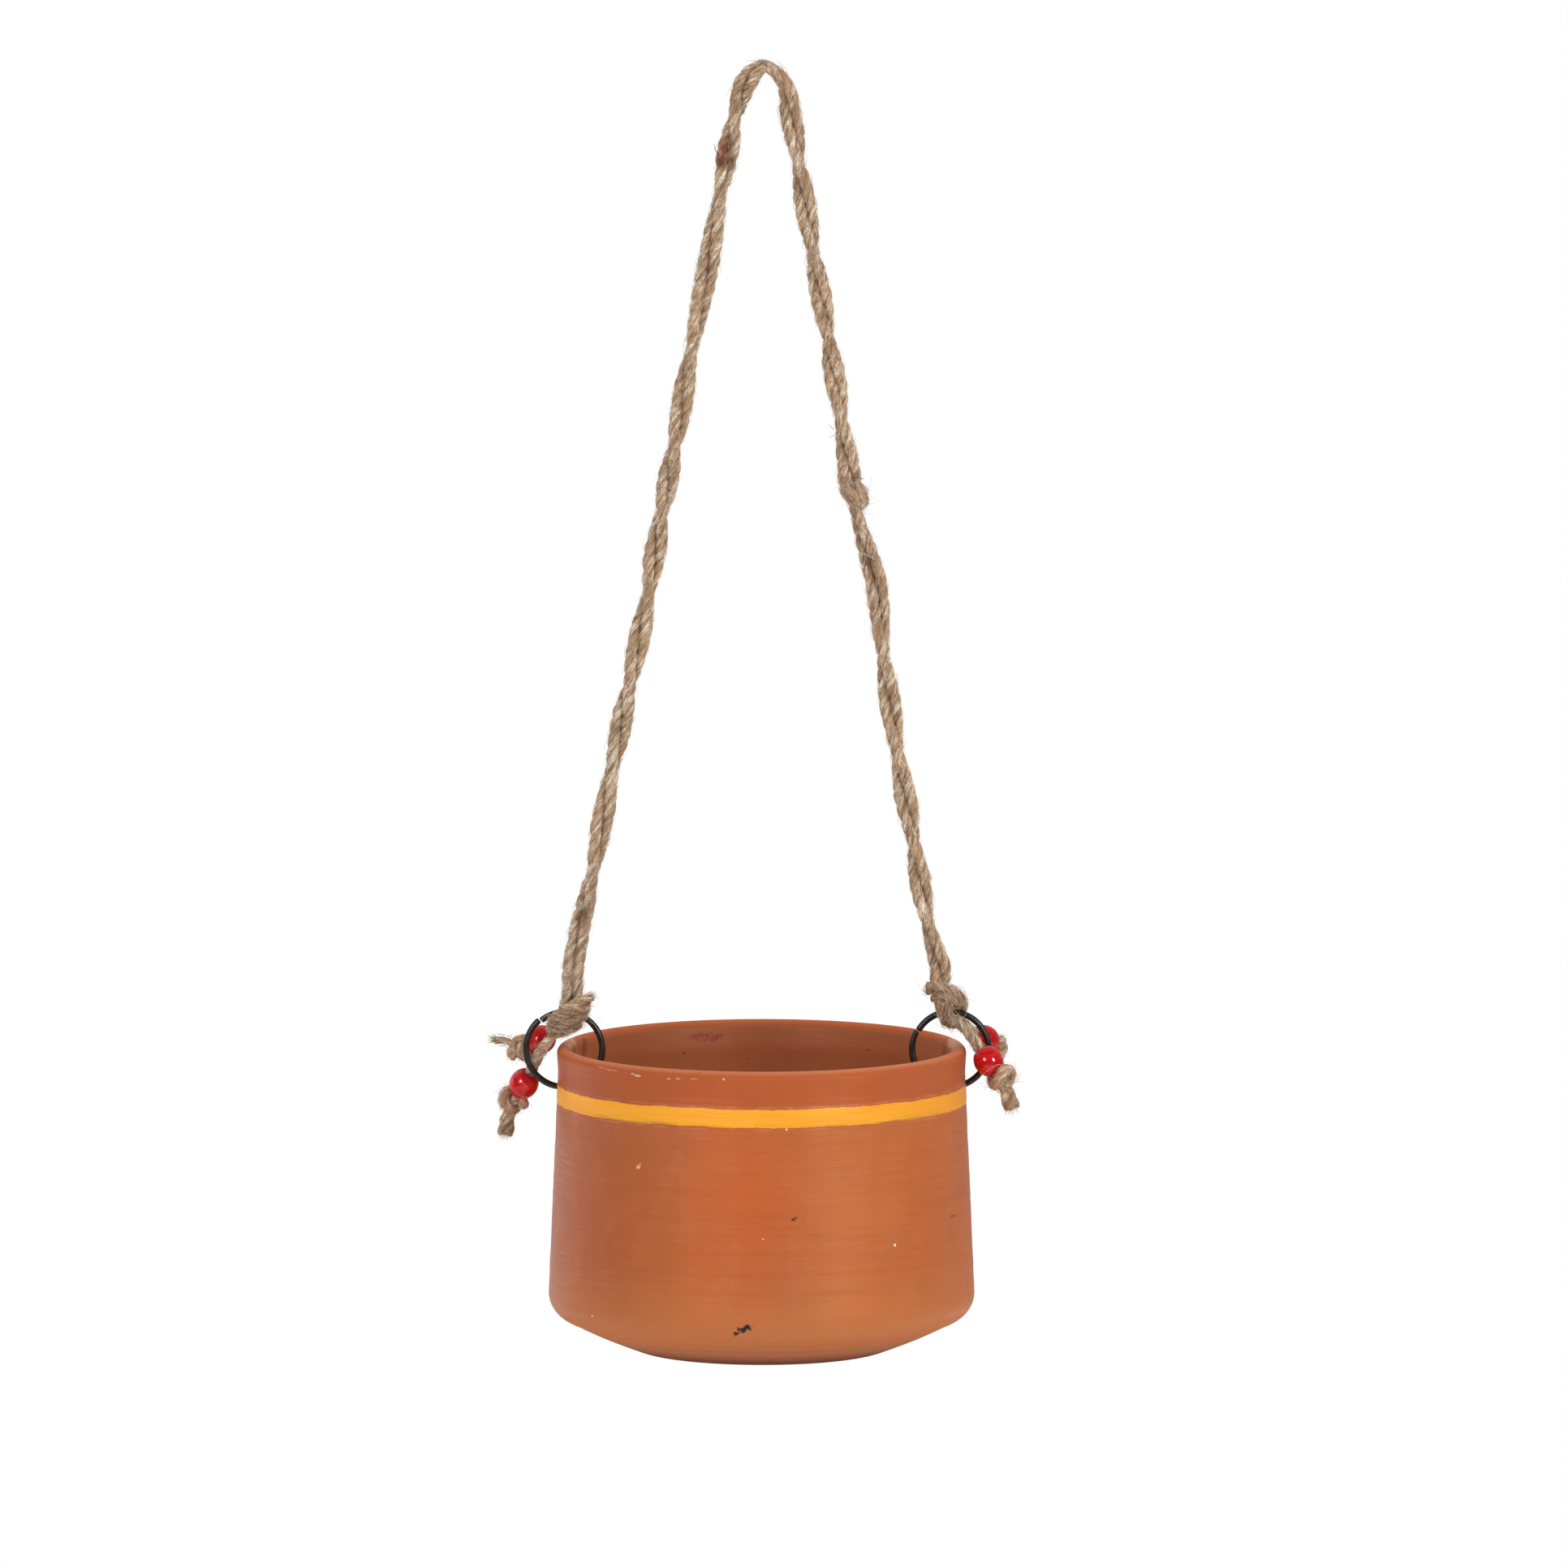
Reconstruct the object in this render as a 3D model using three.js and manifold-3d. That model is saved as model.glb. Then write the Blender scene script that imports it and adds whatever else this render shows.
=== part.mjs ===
// Hanging planter: a thrown terracotta pot hung by two wire rings from a handle of two twisted jute cords.
// Millimetres, +Z up. Origin at the inside top of the hanging loop; the rings lie on the X axis, left is -X.

import * as THREE from 'three';
import { mergeVertices } from 'three/addons/utils/BufferGeometryUtils.js';
import Module from 'manifold-3d';

const wasm = await Module();
wasm.setup();

// ---- Driving dimensions ----------------------------------------------------------------------------------

const gap = 0.3;                 // clearance kept between pieces that touch

const rimDrop = 402.5;           // from the hanging point down to the top of the pot's rim
const rimRadius = 84;            // outside of the rim
const wall = 6;                  // thickness of the thrown wall
const waist = 0.4;               // how far the wall draws in under the rim
const neckDepth = 11;            // from the rim down to the waist
const swell = 3.4;               // how far the widest part, low on the pot, stands out past the rim
const underHeight = 24;          // from the foot up to where the wall turns under
const shoulderRound = 12;        // radius of that turn
const shoulderTurn = 72;         // degrees it turns through
const footRadius = 48;           // flat foot
const potHeight = 126;           // rim to foot
const floorThickness = 6.5;
const drainRadius = 5;

const bandTop = 16;              // painted band, measured down from the rim
const bandHeight = 7.4;
const grooveDepth = 0.5;         // incised line on each side of the band
const grooveWidth = 1;
const grooveOffset = 0.9;        // from the paint's edge to the groove

const wireDepth = 17.2;          // where the ring's wire crosses the wall, down from the rim
const holeRadius = 2.4;          // wall hole that hangs on the wire
const ringRadius = 15.6;         // centreline of the wire
const wireRadius = 1.25;
const ringGap = 0.8;             // opening between the wire's ends
const ringLap = 0.5;             // sideways step between the wire's ends

const cordRadius = 2.1;          // one jute cord
const twistRadius = 2.75;        // from the handle's axis to the axis of each cord
const halfTurns = 9.5;           // half turns of the pair between the hanging loop and each hitch
const flexHeight = 27.5;         // height above the rim at which the handle bends over its hitch

const beadRadius = 6;
const beadLength = 11.4;
const beadBore = 2.5;
const stopperLength = 8.8;
const stopperRadius = 4.7;

const lathed = 56;               // facets round the pot
const corded = 8;                // sides of a cord's section
const looped = 12;               // facets round a turn of cord

// ---- Places that follow from them ------------------------------------------------------------------------

const neckRadius = rimRadius - waist;
const wallMiddle = neckRadius - wall / 2;
const bodyRadius = rimRadius + swell;
const shoulderDepth = potHeight - underHeight;
const rimZ = -rimDrop;
const wireZ = rimZ - wireDepth;
const flexZ = rimZ + flexHeight;
const ringZ = wireZ + ringRadius;

// The rings hang a little off the middle of the wall, and the legs come down inside them.
const sides = {
  left: { outward: -1, ringX: -(wallMiddle + 0.4), gapAngle: 130, knotAngle: 83, flexInset: 3.4 },
  right: { outward: 1, ringX: wallMiddle - 3, gapAngle: 150, knotAngle: 88.2, flexInset: 4 },
};
for (const side of Object.values(sides)) side.flexX = side.ringX - side.outward * side.flexInset;

// Tails: where each leaves its hitch, its bead, the way it runs through the bead, and its frayed tip.
// Places are measured from the ring's centre: outward, back and up.
const tails = {
  front_left: { exit: [2.2, -2.2, 12], bead: [16.8, 8, -15.4], tip: [23.6, 11.2, -36.8] },
  back_left: {
    exit: [0.2, 5.4, 11.2],
    via: [1.3, 8.3, 9.8],
    bead: [10, 13, 3.8],
    way: [0.82, 0.33, -0.47],
    tip: [30, 17.6, 2],
  },
  front_right: { exit: [4.6, -5.6, 11.5], bead: [15.6, -9, -3.8], tip: [25.2, -11.2, -24.4] },
  back_right: {
    exit: [3.4, 5, 11.8],
    via: [6.6, 6.6, 9.2],
    bead: [15.2, 14, 2.3],
    way: [0.66, 0.55, -0.51],
    tip: [22.4, 21.4, -10],
  },
};
const straightLead = 9;          // straight run of a bent tail above its bead's centre

// ---- Materials -------------------------------------------------------------------------------------------

const material = (color, roughness, metalness = 0) =>
  new THREE.MeshStandardMaterial({ color, roughness, metalness });

const terracotta = material(0xc2673a, 0.75);
const blackWire = material(0x2b2324, 0.4, 0.2);
const jute = material(0xa98a6d, 0.95);
const redGlass = material(0xab332c, 0.15);

// ---- Helpers ---------------------------------------------------------------------------------------------

const radians = THREE.MathUtils.degToRad;
const fromRing = (side, [out, back, up]) =>
  new THREE.Vector3(side.ringX + side.outward * out, back, ringZ + up);

function toSolid(geometry) {
  const bare = geometry.clone();
  bare.deleteAttribute('normal');
  bare.deleteAttribute('uv');
  const merged = mergeVertices(bare, 1e-4);
  const corners = Array.from(merged.index.array);
  const kept = [];
  for (let i = 0; i < corners.length; i += 3) {
    const [a, b, c] = corners.slice(i, i + 3);
    if (a !== b && b !== c && c !== a) kept.push(a, b, c);
  }
  const mesh = new wasm.Mesh({
    numProp: 3,
    vertProperties: new Float32Array(merged.attributes.position.array),
    triVerts: new Uint32Array(kept),
  });
  return new wasm.Manifold(mesh);
}

function toGeometry(solid) {
  const mesh = solid.getMesh();
  const geometry = new THREE.BufferGeometry();
  geometry.setAttribute('position', new THREE.BufferAttribute(new Float32Array(mesh.vertProperties), 3));
  geometry.setIndex(new THREE.BufferAttribute(new Uint32Array(mesh.triVerts), 1));
  geometry.computeVertexNormals();
  return geometry;
}

// A cut can leave slivers inside a knot: only the main body is the piece.
function mainBody(solid) {
  return solid.decompose().reduce((most, part) => (part.volume() > most.volume() ? part : most));
}

const union = (solids) => solids.reduce((whole, solid) => whole.add(solid));

function lathe(profile, segments) {
  const geometry = new THREE.LatheGeometry(profile, segments);
  geometry.rotateX(Math.PI / 2);
  return toSolid(geometry);
}

// Points of an arc in the lathe's plane, angles in degrees from the +r direction.
function arc(r, z, radius, from, to, steps) {
  const points = [];
  for (let i = 0; i <= steps; i += 1) {
    const angle = radians(from + ((to - from) * i) / steps);
    points.push(new THREE.Vector2(r + radius * Math.cos(angle), z + radius * Math.sin(angle)));
  }
  return points;
}

function tube(curve, radius, steps, facets = corded) {
  const section = new THREE.Shape(
    Array.from({ length: facets }, (_, i) => {
      const angle = (2 * Math.PI * i) / facets;
      return new THREE.Vector2(radius * Math.cos(angle), radius * Math.sin(angle));
    }),
  );
  return toSolid(new THREE.ExtrudeGeometry(section, { steps, bevelEnabled: false, extrudePath: curve }));
}

// Turns +Z to the given direction and moves to a place.
function along(geometry, place, direction) {
  const upright = new THREE.Vector3(0, 0, 1);
  const turn = new THREE.Quaternion().setFromUnitVectors(upright, direction.clone().normalize());
  return geometry.applyQuaternion(turn).translate(place.x, place.y, place.z);
}

const cordTurn = (place, axis, radius, thickness) =>
  toSolid(along(new THREE.TorusGeometry(radius, thickness, corded, looped), place, axis));

const ball = (place, radius) =>
  toSolid(new THREE.SphereGeometry(radius, 8, 6).translate(place.x, place.y, place.z));

// ---- Pot -------------------------------------------------------------------------------------------------

function groove(r, z) {
  return [
    new THREE.Vector2(r, z + grooveWidth / 2),
    new THREE.Vector2(r - grooveDepth, z),
    new THREE.Vector2(r, z - grooveWidth / 2),
  ];
}

function pot() {
  const lip = wall / 2;
  const turnEnd = radians(shoulderTurn);
  const underRadius = bodyRadius - shoulderRound;
  // Radius of the outer wall between the waist and the shoulder.
  const outerAt = (depth) =>
    THREE.MathUtils.lerp(neckRadius, bodyRadius, (depth - neckDepth) / (shoulderDepth - neckDepth));
  const upperGroove = bandTop - grooveOffset;
  const lowerGroove = bandTop + bandHeight + grooveOffset;
  const innerShoulder = shoulderRound - wall;
  const floorZ = floorThickness - potHeight;
  const innerFoot = footRadius - wall * Math.tan(turnEnd / 4);
  const profile = [
    ...arc(rimRadius - lip, -lip, lip, 180, 0, 6),
    new THREE.Vector2(neckRadius, -neckDepth),
    ...groove(outerAt(upperGroove), -upperGroove),
    ...groove(outerAt(lowerGroove), -lowerGroove),
    ...arc(underRadius, -shoulderDepth, shoulderRound, 0, -shoulderTurn, 5),
    new THREE.Vector2(footRadius, -potHeight),
    new THREE.Vector2(drainRadius, -potHeight),
    new THREE.Vector2(drainRadius, floorZ),
    new THREE.Vector2(innerFoot, floorZ),
    ...arc(underRadius, -shoulderDepth, innerShoulder, -shoulderTurn, 0, 3),
    new THREE.Vector2(neckRadius - wall, -neckDepth),
    new THREE.Vector2(rimRadius - wall, -lip),
  ];
  let body = lathe(profile.reverse(), lathed);
  const drill = new THREE.CylinderGeometry(holeRadius, holeRadius, 4 * wall, 16).rotateZ(Math.PI / 2);
  for (const side of Object.values(sides)) {
    // The wire curves up through the wall, and the top of the hole rests on its highest point there.
    const reach = Math.max(rimRadius - Math.abs(side.ringX), Math.abs(side.ringX) - rimRadius + wall);
    const rise = ringRadius - Math.sqrt(ringRadius ** 2 - reach ** 2);
    const drop = holeRadius - wireRadius - rise - gap;
    const hole = drill.clone().translate(side.outward * rimRadius, 0, -wireDepth - drop);
    body = body.subtract(toSolid(hole));
  }
  return body.translate([0, 0, rimZ]);
}

// ---- Rings -----------------------------------------------------------------------------------------------

class RingWire extends THREE.Curve {
  constructor(side) {
    super();
    this.side = side;
    this.opening = ringGap / ringRadius;
  }

  getPoint(t, target = new THREE.Vector3()) {
    const turn = 2 * Math.PI - this.opening;
    const angle = radians(this.side.gapAngle) + this.opening / 2 + turn * t;
    const x = this.side.ringX + ringRadius * Math.cos(angle);
    return target.set(x, ringLap * (t - 0.5), ringZ + ringRadius * Math.sin(angle));
  }
}

const ring = (side) => tube(new RingWire(side), wireRadius, 36, 8);

// ---- Handle ----------------------------------------------------------------------------------------------

// Each leg of the handle from the top to its hitch: share of the way across, share of the way down, and how many
// half turns the pair has made by there.
const legs = {
  left: [
    [0.08, 0.01, 0.4], [0.14, 0.05, 1], [0.217, 0.135, 2], [0.29, 0.222, 2.5], [0.371, 0.308, 3],
    [0.461, 0.416, 4], [0.529, 0.49, 5], [0.6, 0.579, 6], [0.699, 0.68, 7], [0.791, 0.774, 8],
    [0.895, 0.89, 9], [0.969, 0.96, 9.4],
  ],
  right: [
    [0.13, 0.013, 0.15], [0.166, 0.051, 0.5], [0.207, 0.1, 1], [0.285, 0.197, 2], [0.371, 0.294, 3],
    [0.445, 0.384, 4], [0.533, 0.491, 5], [0.632, 0.563, 5.45], [0.68, 0.646, 6], [0.758, 0.755, 7],
    [0.849, 0.856, 8], [0.926, 0.944, 9],
  ],
};
const topShare = 0.02;           // the top of the loop leans this share towards the right hitch
const flexTop = flexZ + cordRadius + 3 * gap;   // the legs lean, so their ends need room at one edge
const turnSpacing = rimDrop / 40;   // the half turns ride along as the line's second coordinate, this far apart

// Points of one leg from just under the top to its hitch, the turns counted up towards the right.
function legPoints(name) {
  const side = sides[name];
  const toPoint = ([across, down, turns]) =>
    new THREE.Vector3(side.flexX * across, side.outward * turns * turnSpacing, flexTop * down);
  return [...legs[name], [1, 1, halfTurns]].map(toPoint);
}

// Both legs and the top of the loop, where one cord lies behind the other.
function handleLine() {
  const top = new THREE.Vector3(sides.right.flexX * topShare, 0, cordRadius + 2 * gap);
  return new THREE.CatmullRomCurve3([...legPoints('left').reverse(), top, ...legPoints('right')]);
}

class TwistedCord extends THREE.Curve {
  constructor(phase) {
    super();
    this.phase = phase;
    this.line = handleLine();
  }

  getPoint(t, target = new THREE.Vector3()) {
    const { x, y, z } = this.line.getPoint(t);
    const angle = this.phase + Math.PI * (0.5 + y / turnSpacing);
    const tangent = this.line.getTangent(t).setY(0).normalize();
    return target.set(
      x - tangent.z * twistRadius * Math.cos(angle),
      twistRadius * Math.sin(angle),
      z + tangent.x * twistRadius * Math.cos(angle),
    );
  }
}

const handleCord = (phase, radius = cordRadius) => tube(new TwistedCord(phase), radius, 80);

// Where one cord was joined with a knot, part-way up the right leg; it lies against the pair.
function joinKnot() {
  const place = new THREE.Vector3(sides.right.flexX * 0.558, 0, flexTop * 0.465);
  const lump = new THREE.SphereGeometry(1, 14, 9).scale(4.6, 5.2, 4.4).translate(place.x, place.y, place.z);
  const cords = handleCord(0, cordRadius + gap).add(handleCord(Math.PI, cordRadius + gap));
  return mainBody(toSolid(lump).subtract(cords));
}

// ---- Hitches ---------------------------------------------------------------------------------------------

// Three turns round the ring's wire, a collar that gathers the pair above it, and the two ends of the handle,
// each with a round top so that the handle can bend over it.
function hitch(side, swell = 0) {
  const turns = [-1, 0, 1].map((i) => {
    const spread = (2 * cordRadius + 0.1) / ringRadius;
    const angle = radians(side.knotAngle) + i * spread;
    const place = new THREE.Vector3(
      side.ringX + ringRadius * Math.cos(angle), 0, ringZ + ringRadius * Math.sin(angle));
    const tangent = new THREE.Vector3(-Math.sin(angle), 0, Math.cos(angle));
    return cordTurn(place, tangent, wireRadius + gap + 0.15 + cordRadius, cordRadius + swell);
  });
  const topX = side.ringX + ringRadius * Math.cos(radians(side.knotAngle));
  const top = new THREE.Vector3(topX, 0, ringZ + ringRadius + wireRadius + 1.7 * cordRadius);
  const bend = new THREE.Vector3(side.flexX, 0, flexZ);
  const upward = bend.clone().sub(top);
  const collar = cordTurn(top.clone().addScaledVector(upward, 0.12), upward, 3.6, cordRadius + swell);
  const ends = [-1, 1].flatMap((i) => {
    const upper = bend.clone().setX(bend.x + i * twistRadius);
    const lower = top.clone().setX(top.x + i * 2);
    const stub = tube(new THREE.LineCurve3(lower, upper), cordRadius + swell, 1, 10);
    return [stub, ball(upper, cordRadius + swell)];
  });
  return union([...turns, collar, ...ends, ball(top, 3.4)]);
}

// ---- Tails, beads and stoppers ---------------------------------------------------------------------------

const sideOf = (name) => (name.endsWith('left') ? sides.left : sides.right);

function tailFrame(name) {
  const tail = tails[name];
  const side = sideOf(name);
  const exit = fromRing(side, tail.exit);
  const bead = fromRing(side, tail.bead);
  const way = tail.way
    ? new THREE.Vector3(side.outward * tail.way[0], tail.way[1], tail.way[2]).normalize()
    : bead.clone().sub(exit).normalize();
  const stopper = bead.clone().addScaledVector(way, (beadLength + stopperLength) / 2 + gap);
  const end = bead.clone().addScaledVector(way, beadLength / 2);
  const bend = tail.via && fromRing(side, tail.via);
  return { side, exit, bead, way, stopper, end, bend, tip: fromRing(side, tail.tip) };
}

// From inside the hitch to the stopper, cut back to the hitch's surface.
function tailCord(name) {
  const { side, exit, bead: place, way, end, bend } = tailFrame(name);
  const run = new THREE.CurvePath();
  if (bend) {
    const lead = place.clone().addScaledVector(way, -straightLead);
    run.add(new THREE.CatmullRomCurve3([exit, bend, lead]));
    run.add(new THREE.LineCurve3(lead, end));
  } else {
    run.add(new THREE.LineCurve3(exit, end));
  }
  return mainBody(tube(run, cordRadius, bend ? 10 : 4).subtract(hitch(side, gap)));
}

function bead(name) {
  const { bead: place, way } = tailFrame(name);
  const half = beadLength / 2;
  const flat = 3.6;                // radius at which the bead's end turns into its bore
  const shoulder = beadRadius - flat;
  const profile = [
    new THREE.Vector2(beadBore, -half),
    new THREE.Vector2(flat, -half),
    ...[30, 60, 90, 120, 150].map((angle) => {
      const a = radians(angle);
      return new THREE.Vector2(flat + shoulder * Math.sin(a), -half * Math.cos(a));
    }),
    new THREE.Vector2(flat, half),
    new THREE.Vector2(beadBore, half),
    new THREE.Vector2(beadBore, -half),
  ];
  return toSolid(along(new THREE.LatheGeometry(profile, 18).rotateX(Math.PI / 2), place, way));
}

// A tight knot of two turns with its frayed end.
function stopper(name) {
  const { stopper: place, way, tip } = tailFrame(name);
  const turnRadius = stopperRadius - cordRadius;
  const inset = stopperLength / 2 - cordRadius;
  const turns = [-inset, inset].map((offset) =>
    cordTurn(place.clone().addScaledVector(way, offset), way, turnRadius, cordRadius));
  const core = ball(place, stopperLength / 2 - 0.4);
  const brush = tip.clone().sub(place);
  const length = brush.length();
  const frayed = new THREE.CylinderGeometry(cordRadius * 1.25, cordRadius * 0.8, length, corded, 1);
  frayed.rotateX(Math.PI / 2).translate(0, 0, length / 2);
  return union([...turns, core, toSolid(along(frayed, place, brush))]);
}

// ---- Assembly --------------------------------------------------------------------------------------------

const group = new THREE.Group();

function addPiece(name, solid, finish) {
  const mesh = new THREE.Mesh(toGeometry(solid), finish);
  mesh.name = name;
  group.add(mesh);
}

addPiece('pot', pot(), terracotta);
addPiece('handle_cord_a', handleCord(0), jute);
addPiece('handle_cord_b', handleCord(Math.PI), jute);
addPiece('join_knot', joinKnot(), jute);
for (const [word, side] of Object.entries(sides)) {
  addPiece(`ring_${word}`, ring(side), blackWire);
  addPiece(`hitch_knot_${word}`, hitch(side), jute);
}
for (const name of Object.keys(tails)) {
  addPiece(`tail_${name}`, tailCord(name), jute);
  addPiece(`bead_${name}`, bead(name), redGlass);
  addPiece(`stopper_${name}`, stopper(name), jute);
}

export default group;
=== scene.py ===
import math

import bmesh
import bpy
import numpy as np
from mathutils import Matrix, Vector


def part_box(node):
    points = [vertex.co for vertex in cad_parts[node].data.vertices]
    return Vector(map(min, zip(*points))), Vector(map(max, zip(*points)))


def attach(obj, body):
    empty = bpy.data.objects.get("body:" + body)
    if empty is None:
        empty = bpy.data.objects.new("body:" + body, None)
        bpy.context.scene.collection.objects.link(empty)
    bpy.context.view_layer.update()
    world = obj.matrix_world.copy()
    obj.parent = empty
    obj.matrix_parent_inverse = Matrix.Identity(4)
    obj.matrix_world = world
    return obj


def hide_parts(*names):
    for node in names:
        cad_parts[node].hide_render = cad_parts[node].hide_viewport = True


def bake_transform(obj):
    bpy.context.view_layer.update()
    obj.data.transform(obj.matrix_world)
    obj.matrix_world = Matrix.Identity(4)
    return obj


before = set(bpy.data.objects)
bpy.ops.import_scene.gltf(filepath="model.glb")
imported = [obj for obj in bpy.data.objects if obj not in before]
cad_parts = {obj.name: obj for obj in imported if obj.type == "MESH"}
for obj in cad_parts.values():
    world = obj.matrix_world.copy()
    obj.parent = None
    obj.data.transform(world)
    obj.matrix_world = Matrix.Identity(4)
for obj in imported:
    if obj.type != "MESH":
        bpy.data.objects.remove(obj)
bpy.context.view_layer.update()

# Hanging planter: a thrown terracotta pot on two black wire rings, hung from a handle of two twisted jute
# cords. Lengths are worked out in millimetres and turned to metres when a mesh is made.

MM = 0.001


def box_mm(node):
    """The low and high corner of a CAD solid's box."""
    low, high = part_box(node)
    return np.array(low) / MM, np.array(high) / MM


pot_low, pot_high = box_mm("pot")
RIM_Z = pot_high[2]
FOOT_Z = pot_low[2]
RING_RADIUS = 15.6               # to the middle of the wire
WIRE_RADIUS = 1.32


def ring_centre(word):
    """The middle of a CAD ring."""
    low, high = box_mm(f"ring_{word}")
    return (low + high) / 2


RINGS = {word: ring_centre(word) for word in ("left", "right")}
OUTWARD = {"left": -1, "right": 1}


# ---- Camera -----------------------------------------------------------------------------------------------

def look_from(name, data, place, target):
    """A camera or lamp at a place, turned towards a target."""
    item = bpy.data.objects.new(name, data)
    bpy.context.scene.collection.objects.link(item)
    item.location = place
    item.rotation_euler = (Vector(target) - Vector(place)).to_track_quat("-Z", "Y").to_euler()
    return item


def add_camera():
    """A long lens far away, looking down a little, so the planter stands upright and nearly flat."""
    distance = 20.0
    seen_height = 0.644
    height_angle = math.radians(7.4)
    target = Vector((0.00917, 0, -0.2942))
    data = bpy.data.cameras.new("camera")
    data.sensor_width = 36
    data.lens = data.sensor_width * distance / seen_height
    back = Vector((0, -math.cos(height_angle), math.sin(height_angle)))
    bpy.context.scene.camera = look_from("camera", data, target + distance * back, target)


add_camera()


# ---- Meshes -----------------------------------------------------------------------------------------------

ROUTE_SAMPLES = 24               # fine points between two given ones


def smooth_route(points, step=0.9):
    """A centripetal Catmull-Rom line through the points, with its rows spaced evenly. The first three
    columns are the place; any others are carried along."""
    p = np.asarray(points, float)
    p = np.vstack([2 * p[0] - p[1], p, 2 * p[-1] - p[-2]])
    rows = []
    for a, b, c, d in zip(p, p[1:], p[2:], p[3:]):
        ta = 0.0
        tb = ta + np.linalg.norm((b - a)[:3]) ** 0.5
        tc = tb + np.linalg.norm((c - b)[:3]) ** 0.5
        td = tc + np.linalg.norm((d - c)[:3]) ** 0.5
        t = np.linspace(tb, tc, ROUTE_SAMPLES, endpoint=False)[:, None]
        ab = (tb - t) / (tb - ta) * a + (t - ta) / (tb - ta) * b
        bc = (tc - t) / (tc - tb) * b + (t - tb) / (tc - tb) * c
        cd = (td - t) / (td - tc) * c + (t - tc) / (td - tc) * d
        abc = (tc - t) / (tc - ta) * ab + (t - ta) / (tc - ta) * bc
        bcd = (td - t) / (td - tb) * bc + (t - tb) / (td - tb) * cd
        rows.append((tc - t) / (tc - tb) * abc + (t - tb) / (tc - tb) * bcd)
    line = np.vstack([*rows, p[-2][None]])
    travelled = distances(line)
    count = max(int(travelled[-1] / step), 4)
    wanted = np.linspace(0, travelled[-1], count + 1)
    return np.column_stack([np.interp(wanted, travelled, column) for column in line.T])


def distances(line):
    """How far along the line each of its points is."""
    steps = np.linalg.norm(np.diff(line[:, :3], axis=0), axis=1)
    return np.concatenate([[0], np.cumsum(steps)])


def frames_along(line):
    """Directions ahead, across and up at each point, with no needless turning about the line."""
    ahead = np.gradient(line, axis=0)
    ahead /= np.linalg.norm(ahead, axis=1)[:, None]
    first = np.cross(ahead[0], [0.0, 1.0, 0.0])
    if np.linalg.norm(first) < 0.2:
        first = np.cross(ahead[0], [1.0, 0.0, 0.0])
    across = np.zeros_like(line)
    across[0] = first / np.linalg.norm(first)
    for i in range(1, len(line)):
        kept = across[i - 1] - ahead[i] * (across[i - 1] @ ahead[i])
        across[i] = kept / np.linalg.norm(kept)
    return ahead, across, np.cross(ahead, across)


def wander(along, spacing, rng):
    """A smooth random value from -1 to 1 that changes every spacing millimetres."""
    count = int(along[-1] / spacing) + 3
    values = rng.uniform(-1, 1, count)
    place = along / spacing
    index = place.astype(int)
    step = place - index
    step = step * step * (3 - 2 * step)
    return values[index] * (1 - step) + values[index + 1] * step


class Parts:
    """Vertices and faces of one mesh, with values kept on each vertex."""

    def __init__(self):
        self.points = []
        self.faces = []
        self.values = {}
        self.count = 0

    def add(self, points, faces, **values):
        self.points.append(points)
        self.faces.extend([tuple(i + self.count for i in face) for face in faces])
        for name, value in values.items():
            self.values.setdefault(name, []).append(value)
        self.count += len(points)

    def build(self, name, material):
        """Makes a smooth object of them, with its values as attributes."""
        mesh = bpy.data.meshes.new(name)
        points = np.vstack(self.points) * MM
        mesh.from_pydata(points.tolist(), [], self.faces)
        for key, blocks in self.values.items():
            block = np.concatenate(blocks)
            kind = "FLOAT_VECTOR" if block.ndim == 2 else "FLOAT"
            field = "vector" if block.ndim == 2 else "value"
            attribute = mesh.attributes.new(key, kind, "POINT")
            attribute.data.foreach_set(field, block.astype(np.float32).ravel())
        mesh.polygons.foreach_set("use_smooth", [True] * len(mesh.polygons))
        mesh.materials.append(material)
        item = bpy.data.objects.new(name, mesh)
        bpy.context.scene.collection.objects.link(item)
        return item


def side_faces(rings, sides, closed=False):
    """Faces between each ring of points and the next, and from the last ring to the first if closed."""
    faces = []
    for i in range(rings if closed else rings - 1):
        n = (i + 1) % rings
        for j in range(sides):
            k = (j + 1) % sides
            faces.append((i * sides + j, i * sides + k, n * sides + k, n * sides + j))
    return faces


def tube(line, radius, sides):
    """Points and faces of a closed tube; radius is one value, or one for each ring or each point."""
    _, across, up = frames_along(line)
    angle = 2 * np.pi * np.arange(sides) / sides
    if np.ndim(radius) == 1:
        radius = radius[:, None]
    radius = np.broadcast_to(radius, (len(line), sides))
    ring = across[:, None] * np.cos(angle)[None, :, None] + up[:, None] * np.sin(angle)[None, :, None]
    points = (line[:, None] + ring * radius[:, :, None]).reshape(-1, 3)
    ends = [tuple(reversed(range(sides))), tuple(range(len(points) - sides, len(points)))]
    return points, side_faces(len(line), sides) + ends


# ---- Materials --------------------------------------------------------------------------------------------

def linear(hex_colour):
    """An sRGB hex colour as linear RGBA."""
    channels = [int(hex_colour[i:i + 2], 16) / 255 for i in (1, 3, 5)]
    return tuple(c / 12.92 if c <= 0.04045 else ((c + 0.055) / 1.055) ** 2.4 for c in channels) + (1.0,)


def feed(tree, made, inputs):
    """Sets or links a node's inputs, found by name or place. What goes in is a number, a vector, a hex
    colour, a socket, or a node, of which the first output in use is taken."""
    for key, value in inputs.items():
        named = [item for item in made.inputs if item.enabled and item.name == key]
        socket = named[0] if named else made.inputs[key]
        if isinstance(value, bpy.types.Node):
            value = next(item for item in value.outputs if item.enabled)
        if isinstance(value, bpy.types.NodeSocket):
            tree.links.new(value, socket)
        elif isinstance(value, str):
            socket.default_value = linear(value)
        else:
            socket.default_value = value


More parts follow.
